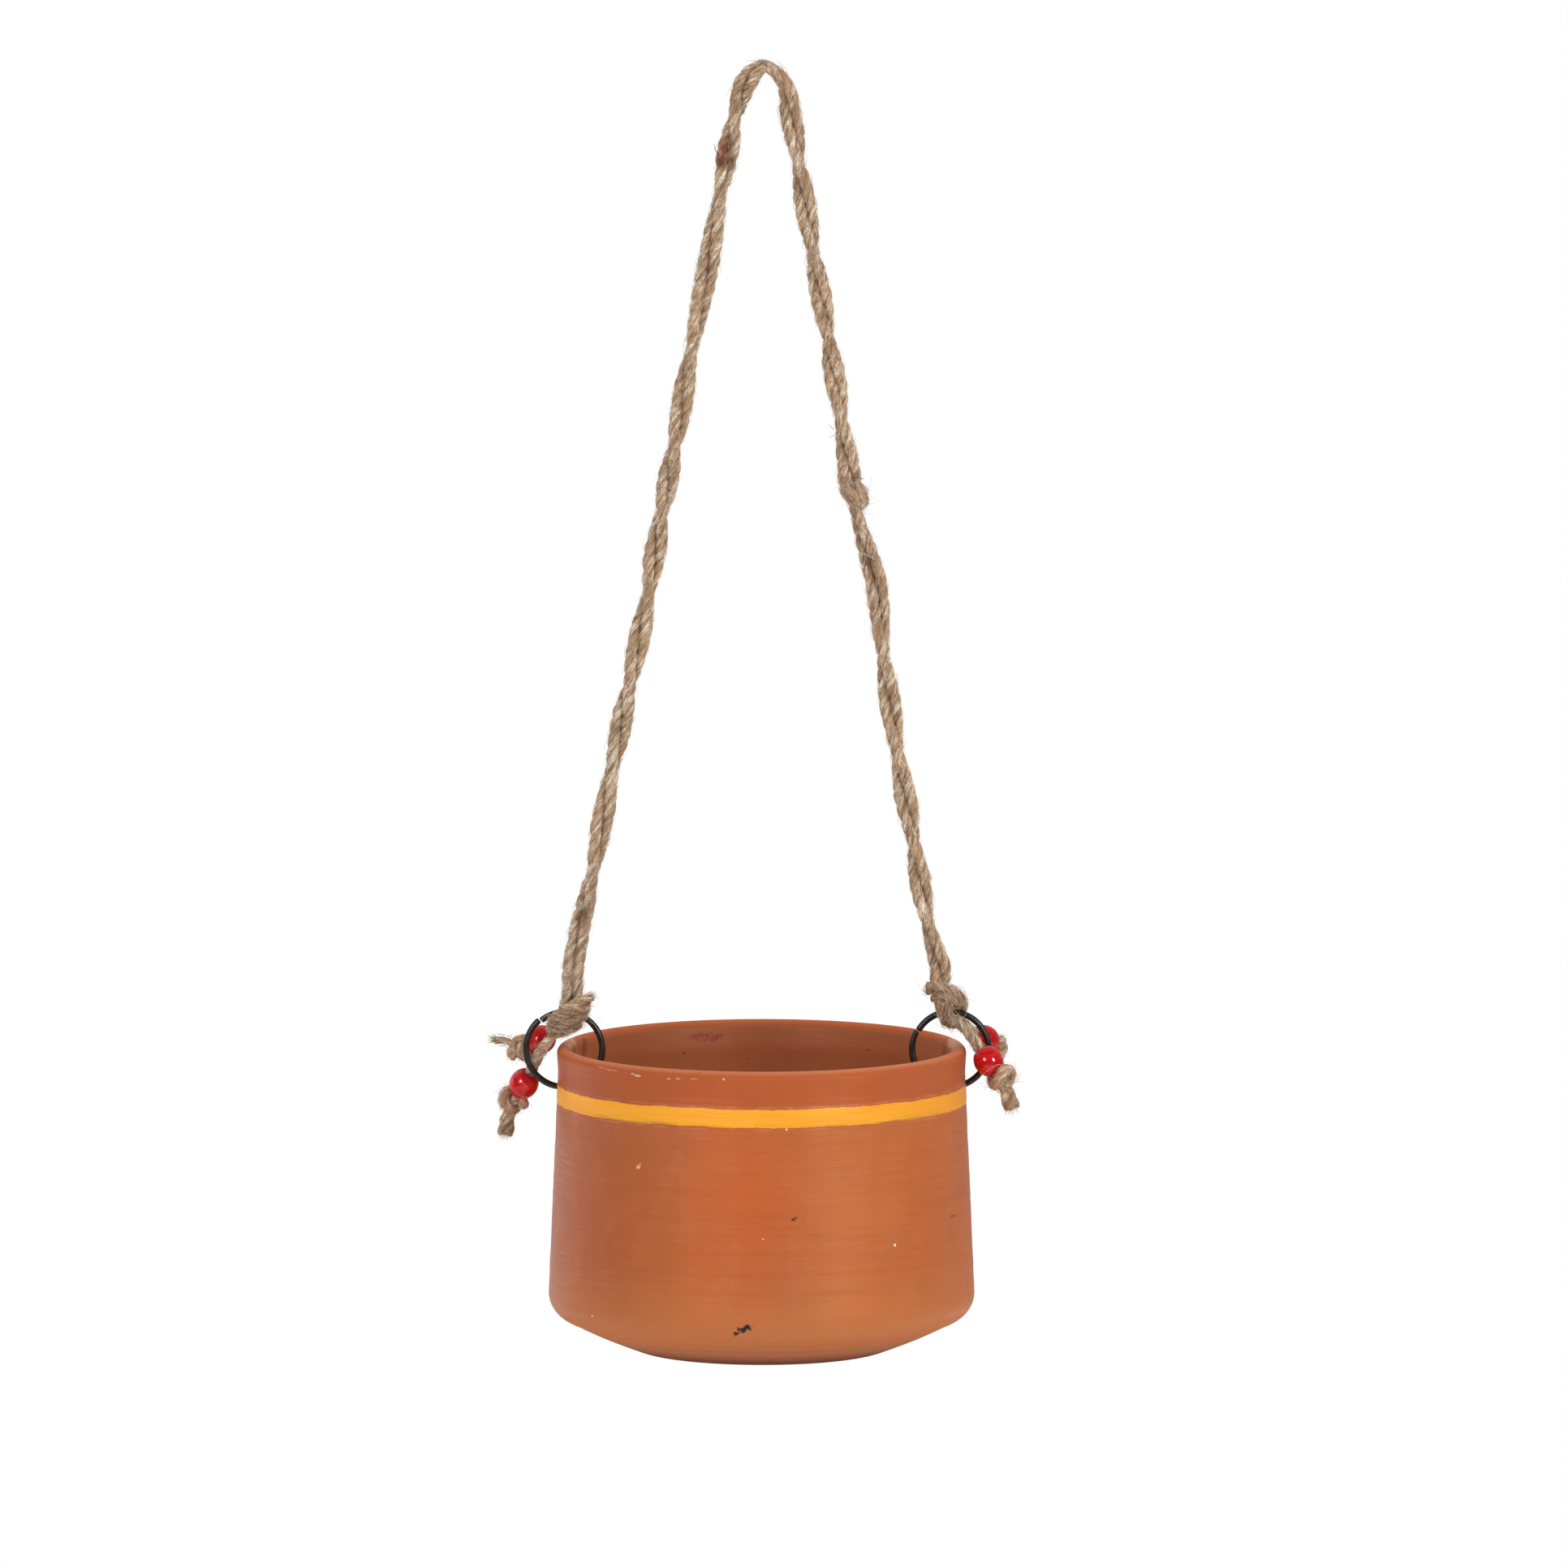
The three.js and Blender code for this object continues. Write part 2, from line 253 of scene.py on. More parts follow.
def add_node(tree, kind, inputs=None, stops=(), **settings):
    """Adds a node with its settings and inputs, and a ramp's stops of place and hex colour."""
    made = tree.nodes.new(kind)
    for name, value in settings.items():
        setattr(made, name, value)
    feed(tree, made, inputs or {})
    while stops and len(made.color_ramp.elements) < len(stops):
        made.color_ramp.elements.new(0.5)
    for i, (place, colour) in enumerate(stops):
        made.color_ramp.elements[i].position = place
        made.color_ramp.elements[i].color = linear(colour)
    return made


def start_finish(name):
    """A new material, its node tree and the shader it shows."""
    material = bpy.data.materials.new(name)
    material.use_nodes = True
    tree = material.node_tree
    tree.nodes.clear()
    shader = add_node(tree, "ShaderNodeBsdfPrincipled")
    add_node(tree, "ShaderNodeOutputMaterial", {"Surface": shader})
    return material, tree, shader


def combined(tree, operation, *parts):
    """Parts added or multiplied. A part is a node or socket, or one together with the two values between
    which the part goes from 0 to 1, or from the first to the second of two more numbers."""
    result = None
    for part in parts:
        if isinstance(part, tuple):
            source, low, high, *levels = part
            start, end = levels or (0.0, 1.0)
            part = add_node(tree, "ShaderNodeMapRange", {
                "Value": source, "From Min": low, "From Max": high, "To Min": start, "To Max": end})
        if result is None:
            result = part
        else:
            result = add_node(tree, "ShaderNodeMath", {0: result, 1: part}, operation=operation)
    return result


def tinted(tree, colour, tint, *parts):
    """A colour with a tint laid over it, as strongly as the product of the parts."""
    strength = combined(tree, "MULTIPLY", *parts)
    return add_node(tree, "ShaderNodeMix", {"Factor": strength, "A": colour, "B": tint}, data_type="RGBA")


def stretched_noise(tree, source, size, detail=3.0, roughness=0.55):
    """Noise whose patches have the given size along each direction, in the source's own unit."""
    scale = [1 / length for length in size]
    space = add_node(tree, "ShaderNodeMapping", {"Vector": source, "Scale": scale})
    return add_node(tree, "ShaderNodeTexNoise", {
        "Vector": space, "Scale": 1.0, "Detail": detail, "Roughness": roughness})


JUTE_COLOURS = [(0.3, "#a17d5f"), (0.44, "#cdab8a"), (0.55, "#edd0b1"), (0.68, "#fbf5e3")]


def jute():
    """Jute: soft dry bast fibre, spun and plied. Matt and streaked along the strand, with shade painted
    into the hollows between its plies and where two twisted cords meet.
    """
    material, tree, shader = start_finish("jute_plied_yarn")
    strand = add_node(tree, "ShaderNodeAttribute", attribute_name="strand").outputs["Vector"]
    kept = {
        name: add_node(tree, "ShaderNodeAttribute", attribute_name=name).outputs["Fac"]
        for name in ("depth", "tone", "gap", "rust", "soot")
    }
    # In millimetres: bundles of fibre 1 wide and 4 long, single fibres drawn as coarse as shows, the
    # shadows of fibres that cross them, and stretches spun from browner or paler stalks.
    bundles = stretched_noise(tree, strand, (1.05, 1.05, 4.2), 2.0)
    fibres = stretched_noise(tree, strand, (0.38, 0.38, 1.7), 3.0, 0.7)
    tangle = stretched_noise(tree, strand, (0.38, 0.38, 0.6), 2.0, 0.6)
    patches = stretched_noise(tree, strand, (6.2, 6.2, 17.0), 2.0)
    colour = add_node(tree, "ShaderNodeValToRGB", {"Fac": bundles}, stops=JUTE_COLOURS)
    for source, dark, start, end, strength in (
            (fibres, "#6c523e", 0.36, 0.48, 0.8), (tangle, "#8a6a50", 0.36, 0.47, 0.7)):
        stops = [(start, dark), (end, "#ffffff")]
        shadow = add_node(tree, "ShaderNodeValToRGB", {"Fac": source}, stops=stops)
        colour = add_node(
            tree, "ShaderNodeMix", {"Factor": strength, "A": colour, "B": shadow},
            data_type="RGBA", blend_type="MULTIPLY")
    colour = tinted(tree, colour, "#ab825c", (patches, 0.48, 0.64, 0.0, 0.65))
    colour = tinted(tree, colour, "#f3ecd4", (patches, 0.3, 0.42, 0.35, 0.0))
    # Painted shade in the hollows between plies: darker where a point lies nearer its cord's axis.
    colour = tinted(tree, colour, "#815e42", (kept["depth"], 0.64, 0.9, 0.65, 0.0))
    colour = add_node(tree, "ShaderNodeHueSaturation", {"Color": colour, "Value": kept["tone"]})
    # Painted shade where the handle's two twisted cords meet, lighter in patches.
    colour = tinted(tree, colour, "#7a5439", kept["gap"], (patches, 0.35, 0.6, 0.45, 1.0))
    colour = tinted(tree, colour, "#83381b", kept["rust"])
    # Soot stains, and painted shade: the join knot's shadow down its leg and the hollows of the hitches.
    colour = tinted(tree, colour, "#563417", kept["soot"])
    raised = combined(tree, "ADD", bundles, fibres)
    bump = add_node(tree, "ShaderNodeBump", {"Height": raised, "Strength": 0.7, "Distance": 0.6 * MM})
    feed(tree, shader, {
        "Base Color": colour, "Normal": bump, "Roughness": 0.88, "Specular IOR Level": 0.25,
        "Sheen Weight": 0.25, "Sheen Roughness": 0.5})
    return material


LOOSE_FIBRE_COLOURS = [(0.0, "#74502f"), (0.3, "#b48c62"), (0.6, "#e0bf96"), (1.0, "#f5e8cc")]


def loose_jute():
    """Single jute fibres that have worked loose: dry, and from brown to pale."""
    material, tree, shader = start_finish("jute_loose_fibre")
    tone = add_node(tree, "ShaderNodeAttribute", attribute_name="tone").outputs["Fac"]
    colour = add_node(tree, "ShaderNodeValToRGB", {"Fac": tone}, stops=LOOSE_FIBRE_COLOURS)
    feed(tree, shader, {"Base Color": colour, "Roughness": 0.8, "Specular IOR Level": 0.3})
    return material


def enamelled_wire():
    """Steel wire dipped in black enamel: glossy, slightly wavy, with rubbed streaks."""
    material, tree, shader = start_finish("black_enamelled_wire")
    metres = add_node(tree, "ShaderNodeTexCoord").outputs["Object"]
    waves = stretched_noise(tree, metres, (3.6 * MM, 3.6 * MM, 3.6 * MM), 2.0)
    rubs = stretched_noise(tree, metres, (1.1 * MM, 2.0 * MM, 1.1 * MM), 4.0, 0.7)
    colour = tinted(tree, "#1b1715", "#514945", (rubs, 0.6, 0.72, 0.0, 0.5))
    rough = combined(tree, "ADD", (rubs, 0.4, 0.7, 0.3, 0.5))
    bump = add_node(tree, "ShaderNodeBump", {"Height": waves, "Strength": 0.35, "Distance": 0.4 * MM})
    feed(tree, shader, {"Base Color": colour, "Roughness": rough, "Normal": bump, "IOR": 1.5})
    return material


RED_GLASS_COLOURS = [(0.32, "#aa0f12"), (0.5, "#c6151a"), (0.66, "#da2527"), (0.78, "#f3635c")]


def red_glass():
    """Lamp-wound red glass: deep opaque red under a wet gloss, with paler streaks 1.4 mm apart where the
    glass was wound on."""
    material, tree, shader = start_finish("red_wound_glass")
    winding = add_node(tree, "ShaderNodeAttribute", attribute_name="winding").outputs["Vector"]
    streaks = stretched_noise(tree, winding, (7.1, 7.1, 1.43), 2.0)
    colour = add_node(tree, "ShaderNodeValToRGB", {"Fac": streaks}, stops=RED_GLASS_COLOURS)
    feed(tree, shader, {"Base Color": colour, "Roughness": 0.09, "IOR": 1.5})
    return material


# ---- Jute cord --------------------------------------------------------------------------------------------

CORD_RADIUS = 2.45               # a jute cord measured over its plies
PLY_SHARE = 0.6                  # each of the three plies, as a share of the cord's radius
PLY_PITCH = 19.0                 # length over which a ply goes once round its cord
PLY_SIDES = 14                   # points round a ply
FIBRE_PITCH = 26.0               # length over which a fibre goes once round its ply
RIDGES = 5                       # bundles of fibre standing out round a ply
FRAY_LENGTH = 7.0                # length of a cut end over which its plies part
GAP_SHADE_DARKNESS = 0.65              # where two twisted cords meet, how dark the painted shade is,
GAP_SHADE_REACH = 2.5                  # how far from the line between them that goes,
GAP_SHADE_EDGE = 1.3                   # and over what width it fades


def add_cord(parts, line, rng, radius=CORD_RADIUS, start_angle=0.0, fray=0.0, rust=(), soot=(),
             pair_axis=None, lightness=1.0, loose=1.0):
    """Three plies laid round a line. radius and lightness are one value or one for each point; fray is how
    far the plies part at the line's far end; loose is how unevenly the plies lie; pair_axis is the line
    that two twisted cords share, with shade painted where they meet."""
    along = distances(line)
    _, across, up = frames_along(line)
    radius = np.broadcast_to(radius, len(line))
    opening = fray * np.clip(1 - (along[-1] - along) / FRAY_LENGTH, 0, 1) ** 2
    around = 2 * np.pi * np.arange(PLY_SIDES) / PLY_SIDES
    for ply in range(3):
        # Each ply strays from its place and swells, over lengths of 5 to 9 mm.
        angle = start_angle + 2 * np.pi * (along / PLY_PITCH + ply / 3)
        angle += 0.3 * loose * wander(along, 9 / loose, rng)
        orbit = radius * (1 - PLY_SHARE) * (1 + 0.12 * loose * wander(along, 6, rng)) * (1 + 1.3 * opening)
        middle = line + across * (orbit * np.cos(angle))[:, None] + up * (orbit * np.sin(angle))[:, None]
        thick = radius * PLY_SHARE * (1 + 0.1 * loose * wander(along, 5, rng)) * (1 - 0.3 * opening)
        # The bundles of fibre wind round it, and no two points of its surface are quite level.
        local = around[None, :] - (2 * np.pi * along / FIBRE_PITCH)[:, None]
        ribs = 1 + 0.045 * np.sin(RIDGES * local + 2 * wander(along, 7, rng)[:, None])
        ribs += 0.022 * loose * rng.standard_normal((len(line), PLY_SIDES))
        points, faces = tube(middle, thick[:, None] * ribs, PLY_SIDES)
        offset = rng.uniform(-40, 40, 2)
        strand = np.stack([
            thick[:, None] * np.cos(local) + offset[0],
            thick[:, None] * np.sin(local) + offset[1],
            np.repeat(along[:, None], PLY_SIDES, axis=1),
        ], axis=2).reshape(-1, 3)
        # depth, how far a point lies from its cord's axis, sets the shade painted into the hollows between
        # plies.
        depth = np.linalg.norm(points - np.repeat(line, PLY_SIDES, axis=0), axis=1)
        depth /= np.repeat(radius, PLY_SIDES)
        # Painted shade between the two cords, darkest along the line between them.
        gap = np.zeros(len(points))
        if pair_axis is not None:
            away = np.linalg.norm(points - np.repeat(pair_axis, PLY_SIDES, axis=0), axis=1)
            gap = GAP_SHADE_DARKNESS * np.clip((GAP_SHADE_REACH - away) / GAP_SHADE_EDGE, 0, 1)
        # Paler and darker stretches 12 and 34 mm long, and a difference between plies.
        tone = 0.97 + 0.12 * wander(along, 12, rng) + 0.1 * wander(along, 34, rng) + rng.uniform(-0.04, 0.04)
        parts.add(
            points, faces, strand=strand, depth=depth, gap=gap, tone=np.repeat(tone * lightness, PLY_SIDES),
            rust=stain_and_shade_at(points, rust), soot=stain_and_shade_at(points, soot))


def stain_and_shade_at(points, spots):
    """How strongly each point is darkened by stains and by painted shade; a spot is a place, a radius
    and a strength.
    """
    most = np.zeros(len(points))
    for place, radius, strength in spots:
        far = np.linalg.norm(points - np.array(place), axis=1)
        most = np.maximum(most, strength * np.clip(1.4 - far / radius, 0, 1))
    return most


def add_hair(parts, path, thick, tone):
    """One loose fibre, tapering to its tip. Its tone goes from 0, brown, to 1, pale."""
    points, faces = tube(path, thick * np.linspace(1, 0.35, len(path)), 3)
    parts.add(points, faces, tone=np.full(len(points), tone))


HAIR_POINTS = 5                  # points along a loose fibre


def add_fuzz(parts, line, rng, per_mm, radius=CORD_RADIUS, longest=6.0, stand=1.3, matted=0.35):
    """Loose fibres that leave a cord's surface at a slant and curl, and some that only lie on it. stand is
    how far they come off the cord, and matted how far they lie across it."""
    ahead, across, up = frames_along(line)
    step = np.linspace(0, 1, HAIR_POINTS)[:, None]
    for _ in range(int(per_mm * distances(line)[-1])):
        i = rng.integers(1, len(line) - 1)
        angle = rng.uniform(0, 2 * np.pi)
        out = across[i] * np.cos(angle) + up[i] * np.sin(angle)
        side = np.cross(ahead[i], out)
        long_one = rng.random() < 0.12
        length = longest * (rng.uniform(0.6, 1.0) if long_one else rng.uniform(0.2, 0.5))
        lift = stand * (rng.uniform(0.5, 1.1) if long_one else rng.uniform(0.05, 0.55))
        way = 1 if rng.random() < 0.6 else -1
        lean = matted * rng.uniform(-1, 1)
        path = (
            line[i] + out * (radius * 0.95)
            + (ahead[i] * way + side * lean) * length * step
            + out * (lift * np.sin(step * rng.uniform(1.4, 2.8)) - (lean * length * step) ** 2 / (3 * radius))
            + side * rng.uniform(-0.3, 0.3) * length * step ** 2
        )
        add_hair(parts, path, rng.uniform(0.06, 0.1), rng.beta(1.2, 1.0))


def add_brush_end(parts, line, rng, count, spread=0.35, length=3.5, radius=2.0):
    """The cut end of a cord, where its fibres fan out."""
    ahead, across, up = frames_along(line)
    step = np.linspace(0, 1, HAIR_POINTS)[:, None]
    for _ in range(count):
        i = len(line) - 1 - rng.integers(0, 4)
        angle = rng.uniform(0, 2 * np.pi)
        out = across[i] * np.cos(angle) + up[i] * np.sin(angle)
        reach = rng.uniform(0.2, 1.0)
        way = ahead[i] + out * spread * reach * rng.uniform(0.3, 1.6)
        curl = rng.uniform(-0.5, 0.5, 3)
        start = line[i] + out * radius * reach * 0.8
        path = start + length * rng.uniform(0.3, 1) * (way * step + curl * step ** 2 * 0.5)
        add_hair(parts, path, rng.uniform(0.07, 0.12), rng.beta(1.2, 1.0))


# ---- Handle -----------------------------------------------------------------------------------------------

FLEX_Z = RIM_Z + 27.5            # the height at which the handle bends over its hitch
FLEX_TOP = FLEX_Z + 3.0          # where the legs end and run on into their hitches
FLEX_X = {"left": RINGS["left"][0] + 3.4, "right": RINGS["right"][0] - 4.0}
TWIST_RADIUS = 2.1               # from the handle's axis to the axis of each cord, pressed together

# Each leg of the handle from the top to its hitch: share of the way across, share of the way down, and how
# many half turns the pair has made by there.
LEGS = {
    "left": [
        (0.08, 0.01, 0.4), (0.14, 0.05, 1), (0.217, 0.135, 2), (0.29, 0.222, 2.5), (0.371, 0.308, 3),
        (0.461, 0.416, 4), (0.529, 0.49, 5), (0.6, 0.579, 6), (0.699, 0.68, 7), (0.791, 0.774, 8),
        (0.895, 0.89, 9), (0.969, 0.96, 9.4), (1, 1, 9.5),
    ],
    "right": [
        (0.13, 0.013, 0.15), (0.166, 0.051, 0.5), (0.207, 0.1, 1), (0.285, 0.197, 2), (0.371, 0.294, 3),
        (0.445, 0.384, 4), (0.533, 0.491, 5), (0.632, 0.563, 5.45), (0.68, 0.646, 6), (0.758, 0.755, 7),
        (0.849, 0.856, 8), (0.926, 0.944, 9), (1, 1, 9.5),
    ],
}
# Below that the pair runs on into its hitch: across, back and up from the ring's centre, and half turns.
INTO_HITCH = {
    "left": [(3.2, 0.4, 24.5, 9.5), (2.6, 1.6, 18.5, 9.5), (1.4, 3.2, 12.5, 9.5)],
    "right": [(-4.6, 0.2, 27.5, 9.8), (-3.6, 1.0, 22.0, 9.95), (-1.0, 2.2, 15.5, 10)],
}


def leg_points(word):
    """Across, back, height and turns along one leg; turns count up towards the right."""
    way = OUTWARD[word]
    rows = [(FLEX_X[word] * across, 0, FLEX_TOP * down, way * turns) for across, down, turns in LEGS[word]]
    centre = RINGS[word]
    rows += [(centre[0] + x, y, centre[2] + z, way * turns) for x, y, z, turns in INTO_HITCH[word]]
    return rows


def handle_axis():
    """The line between the two cords, with its turns, from the left hitch over the top to the right one."""
    top = (FLEX_X["right"] * 0.02, 0, 2.7, 0)
    return smooth_route(leg_points("left")[::-1] + [top] + leg_points("right"))


def handle_cord_line(axis, phase):
    """One cord of the pair, wound round the axis."""
    line = axis[:, :3]
    angle = phase + np.pi * (0.5 + axis[:, 3])
    ahead = np.gradient(line, axis=0)
    ahead /= np.linalg.norm(ahead, axis=1)[:, None]
    across = np.column_stack([-ahead[:, 2], np.zeros(len(line)), ahead[:, 0]])
    across /= np.linalg.norm(across, axis=1)[:, None]
    toward = np.array([0.0, 1.0, 0.0])
    return line + TWIST_RADIUS * (across * np.cos(angle)[:, None] + toward * np.sin(angle)[:, None])


def bend_into_hitch(item):
    """Bakes the placing of a piece of the handle into its mesh."""
    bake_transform(item)


# Stains on the handle's cords, and shadow painted on them: place, radius and strength.
RUST_SPOTS = [
    ((-15.2, -3, -31.0), 3.2, 1.0), ((-16.4, -3, -34.6), 2.6, 0.9), ((-14.4, -3, -27.0), 2.6, 0.5),
    ((-73.4, -3, -352.5), 2.6, 0.4),
]
SOOT_AND_SHADOW_SPOTS = [
    ((-16.9, -3, -37.4), 2.2, 0.9), ((-12.0, -3, -37.0), 3.2, 0.95), ((-13.3, -3, -29.0), 1.9, 0.85),
    ((-13.0, -3, -32.5), 1.5, 0.7), ((-11.2, -3, -12.0), 3.2, 0.4), ((-7.2, -3, -7.0), 2.8, 0.45),
    ((-74.2, -3, -348.0), 3.6, 0.8), ((43.2, -3, -201), 3.6, 0.75), ((26.0, -3, -100), 3.4, 0.4),
    # These three, on the right leg just under the join knot, are the knot's shadow painted down the leg.
    ((36.8, -3, -181.0), 2.0, 0.7), ((37.6, -1.5, -187.0), 2.4, 0.6), ((39.6, -2, -194.0), 2.2, 0.5),
    ((28.4, -1, -147.0), 3.0, 0.7), ((-26.0, -3, -78), 3.0, 0.4), ((14.5, -3, -46), 3.4, 0.4),
]

# Single fibres that stand out from the handle's legs: path, thickness and tone.
LEG_STRAYS = {
    "left": [
        ([(-17.0, -2.0, -34.6), (-18.6, -2.4, -32.2), (-19.2, -2.6, -30.8), (-19.5, -2.6, -29.2)], 0.3, 0.0),
    ],
    "right": [
        ([(41.2, -4.6, -198.2), (43.6, -5.4, -199.0), (46.6, -5.2, -200.6), (49.0, -3.6, -204.0)], 0.12, 1.0),
        ([(29.6, -2.0, -147.4), (28.2, -2.4, -145.8), (27.0, -2.4, -145.4)], 0.16, 0.0),
        ([(29.8, -1.8, -149.6), (28.4, -2.2, -150.2), (27.4, -2.2, -150.4)], 0.14, 0.1),
    ],
}


def make_handle(jute_finish, fibre_finish):
    """Two cords twisted together, each made in a left and a right leg that meet at the top."""
    rng = np.random.default_rng(41)
    axis = handle_axis()
    for letter, phase in (("a", 0.0), ("b", math.pi)):
        line = handle_cord_line(axis, phase)
        top = int(np.argmax(line[:, 2]))
        for word, leg in (("left", slice(top, None, -1)), ("right", slice(top, None))):
            run = line[leg]
            cord_parts = Parts()
            add_cord(
                cord_parts, run, rng, start_angle={"left": math.pi, "right": 0.0}[word], rust=RUST_SPOTS,
                soot=SOOT_AND_SHADOW_SPOTS, pair_axis=axis[leg, :3])
            cord = cord_parts.build(f"handle_cord_{letter}_{word}", jute_finish)
            fuzz_parts = Parts()
            add_fuzz(fuzz_parts, run, rng, 4.6)
            for route, thick, tone in LEG_STRAYS[word] if letter == "a" else ():
                add_hair(fuzz_parts, smooth_route(route, 0.8), thick, tone)
            fuzz = fuzz_parts.build(f"handle_fuzz_{letter}_{word}", fibre_finish)
            for item in (cord, fuzz):
                bend_into_hitch(item)
            if word == "left":
                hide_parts(f"handle_cord_{letter}")


# ---- Hitches, tails and stopper knots ---------------------------------------------------------------------

def from_ring(word, out, back, up):
    """A point measured from the ring's centre: outward, back and up, in millimetres."""
    centre = RINGS[word]
    return np.array([centre[0] + OUTWARD[word] * out, back, centre[2] + up])


# Turns of cord in each hitch, outward, back and up from the ring's centre.
HITCH_TURNS = {
    "left": [
        [(-8.4, 2.6, 19.5), (-8.6, -1.6, 18.4), (-6.4, -5.6, 17.2), (-2.2, -7.4, 16.2), (2.2, -6.6, 14.4),
         (4.8, -2.8, 12.4), (4.6, 2.2, 10.2), (2.0, 3.6, 8.6)],
        [(-7.6, 2.4, 16.4), (-7.4, -1.8, 15.0), (-4.8, -5.6, 13.2), (-1.2, -7.2, 11.2), (2.4, -6.0, 9.6),
         (4.8, -2.2, 8.8), (4.2, 2.4, 7.8), (1.2, 3.4, 7.6)],
        [(-4.6, 3.0, 12.6), (-5.4, -0.6, 11.4), (-4.0, -4.2, 10.2), (-0.8, -5.0, 8.6), (1.6, -3.0, 7.8),
         (2.6, 1.4, 7.8)],
    ],
    "right": [
        [(-8.2, 2.0, 24.2), (-8.4, -1.6, 25.6), (-6.2, -5.0, 26.4), (-2.6, -5.8, 26.0), (1.0, -5.2, 24.4),
         (3.6, -3.6, 22.0), (4.6, -0.2, 19.6), (4.4, 3.8, 16.6), (2.8, 4.4, 12.4)],
        [(-6.6, -1.6, 22.0), (-4.2, -5.0, 23.0), (-1.0, -5.4, 22.4), (1.4, -4.2, 20.6), (2.4, -0.6, 19.4),
         (2.4, 3.8, 16.6), (1.4, 4.2, 12.2)],
        [(-5.2, -2.4, 22.4), (-3.9, -5.8, 19.0), (-2.9, -6.8, 15.2), (-1.7, -5.8, 12.3), (0.0, -2.2, 11.2),
         (0.2, 2.4, 12.8)],
        [(-2.8, -4.0, 21.0), (-1.6, -6.8, 17.8), (-0.8, -7.2, 14.4), (0.2, -5.4, 12.2), (1.2, -1.6, 11.4),
         (1.0, 2.6, 13.2)],
    ],
}


# A cord's frayed end that crosses the front of the left leg and stands out beside it.
WISP = [(1.4, -4.4, 17.4), (-1.6, -6.4, 18.6), (-5.2, -6.6, 20.0), (-8.2, -5.0, 21.4), (-11.0, -3.2, 22.4)]

KNOT_BROWNING = 0.24             # how much browner the handled knots are than the cords
HITCH_LIGHTNESS = {"left": 1.06, "right": 0.99}

# Brown handling marks on each hitch, and painted shade in the hollow by the wire, where it is darkest:
# place, radius and strength.
HITCH_STAINS_AND_SHADE = {
    "left": [((0, -6, 12), 9, 0.25), ((-4, -7, 12), 2.4, 0.45)],
    "right": [((-0.6, -6, 17), 10, 0.34), ((1.4, -3, 17.8), 3.0, 0.9)],
}

# Long pale fibres pulled out of each hitch.
STRAY_THICKNESS = 0.09
STRAY_TONE = 0.95
STRAYS = {
    "left": [
        [(6.0, -8.6, 16.0), (9.4, -9.0, 13.6), (7.0, -9.4, 10.4), (1.0, -8.6, 8.4)],
        [(3.0, -8.4, 11.0), (-1.4, -9.4, 7.0), (-5.0, -8.0, 2.0), (-4.4, -7.0, -2.0)],
        [(-4.0, -7.6, 18.0), (2.0, -9.4, 17.2), (6.6, -8.4, 13.0)],
        [(-6.0, -7.0, 23.0), (-9.8, -6.0, 24.6), (-12.4, -5.0, 23.2)],
    ],
    "right": [
        [(-3.6, -8.0, 27.0), (-1.6, -9.0, 21.0), (-2.2, -9.2, 15.0), (2.4, -8.0, 12.0)],
        [(-5.6, -8.0, 15.0), (0.4, -9.0, 15.6), (5.6, -7.0, 14.4), (7.0, -5.6, 17.6)],
        [(-9.2, -5.0, 26.4), (-6.6, -8.2, 22.0), (-2.6, -9.0, 24.0)],
        [(0.4, -8.4, 20.0), (3.4, -9.0, 15.0), (7.0, -7.6, 13.0)],
    ],
}


def make_hitch(word, jute_finish, fibre_finish):
    """The hitch that ties the pair of cords to its ring."""
    rng = np.random.default_rng({"left": 52, "right": 53}[word])
    parts = Parts()
    fuzz = Parts()
    browned = [(from_ring(word, 0, 0, 12), 40, KNOT_BROWNING)]
    stains_and_shade = [(from_ring(word, *place), radius, strength) for place, radius, strength in HITCH_STAINS_AND_SHADE[word]]
    for turns in HITCH_TURNS[word]:
        line = smooth_route([from_ring(word, *p) for p in turns], 0.7)
        add_cord(
            parts, line, rng, radius=2.4, start_angle=rng.uniform(0, 6), lightness=HITCH_LIGHTNESS[word],
            loose=2.2, rust=browned, soot=stains_and_shade)
        add_fuzz(fuzz, line, rng, 11, longest=7, stand=0.9, matted=1.1)
    if word == "left":
        wisp = smooth_route([from_ring(word, *p) for p in WISP], 0.6)
        add_cord(parts, wisp, rng, radius=1.75, fray=0.6, lightness=1.12)
        add_fuzz(fuzz, wisp, rng, 4, radius=1.6, longest=5)
        add_brush_end(fuzz, wisp, rng, 60, spread=0.5, length=3.0, radius=1.6)
    for stray in STRAYS[word]:
        add_hair(fuzz, smooth_route([from_ring(word, *p) for p in stray], 1.2), STRAY_THICKNESS, STRAY_TONE)
    knot = parts.build(f"hitch_{word}_turns", jute_finish)
    hairs = fuzz.build(f"hitch_{word}_fuzz", fibre_finish)
    for item in (knot, hairs):
        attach(item, f"hitch_{word}")
    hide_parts(f"hitch_knot_{word}")


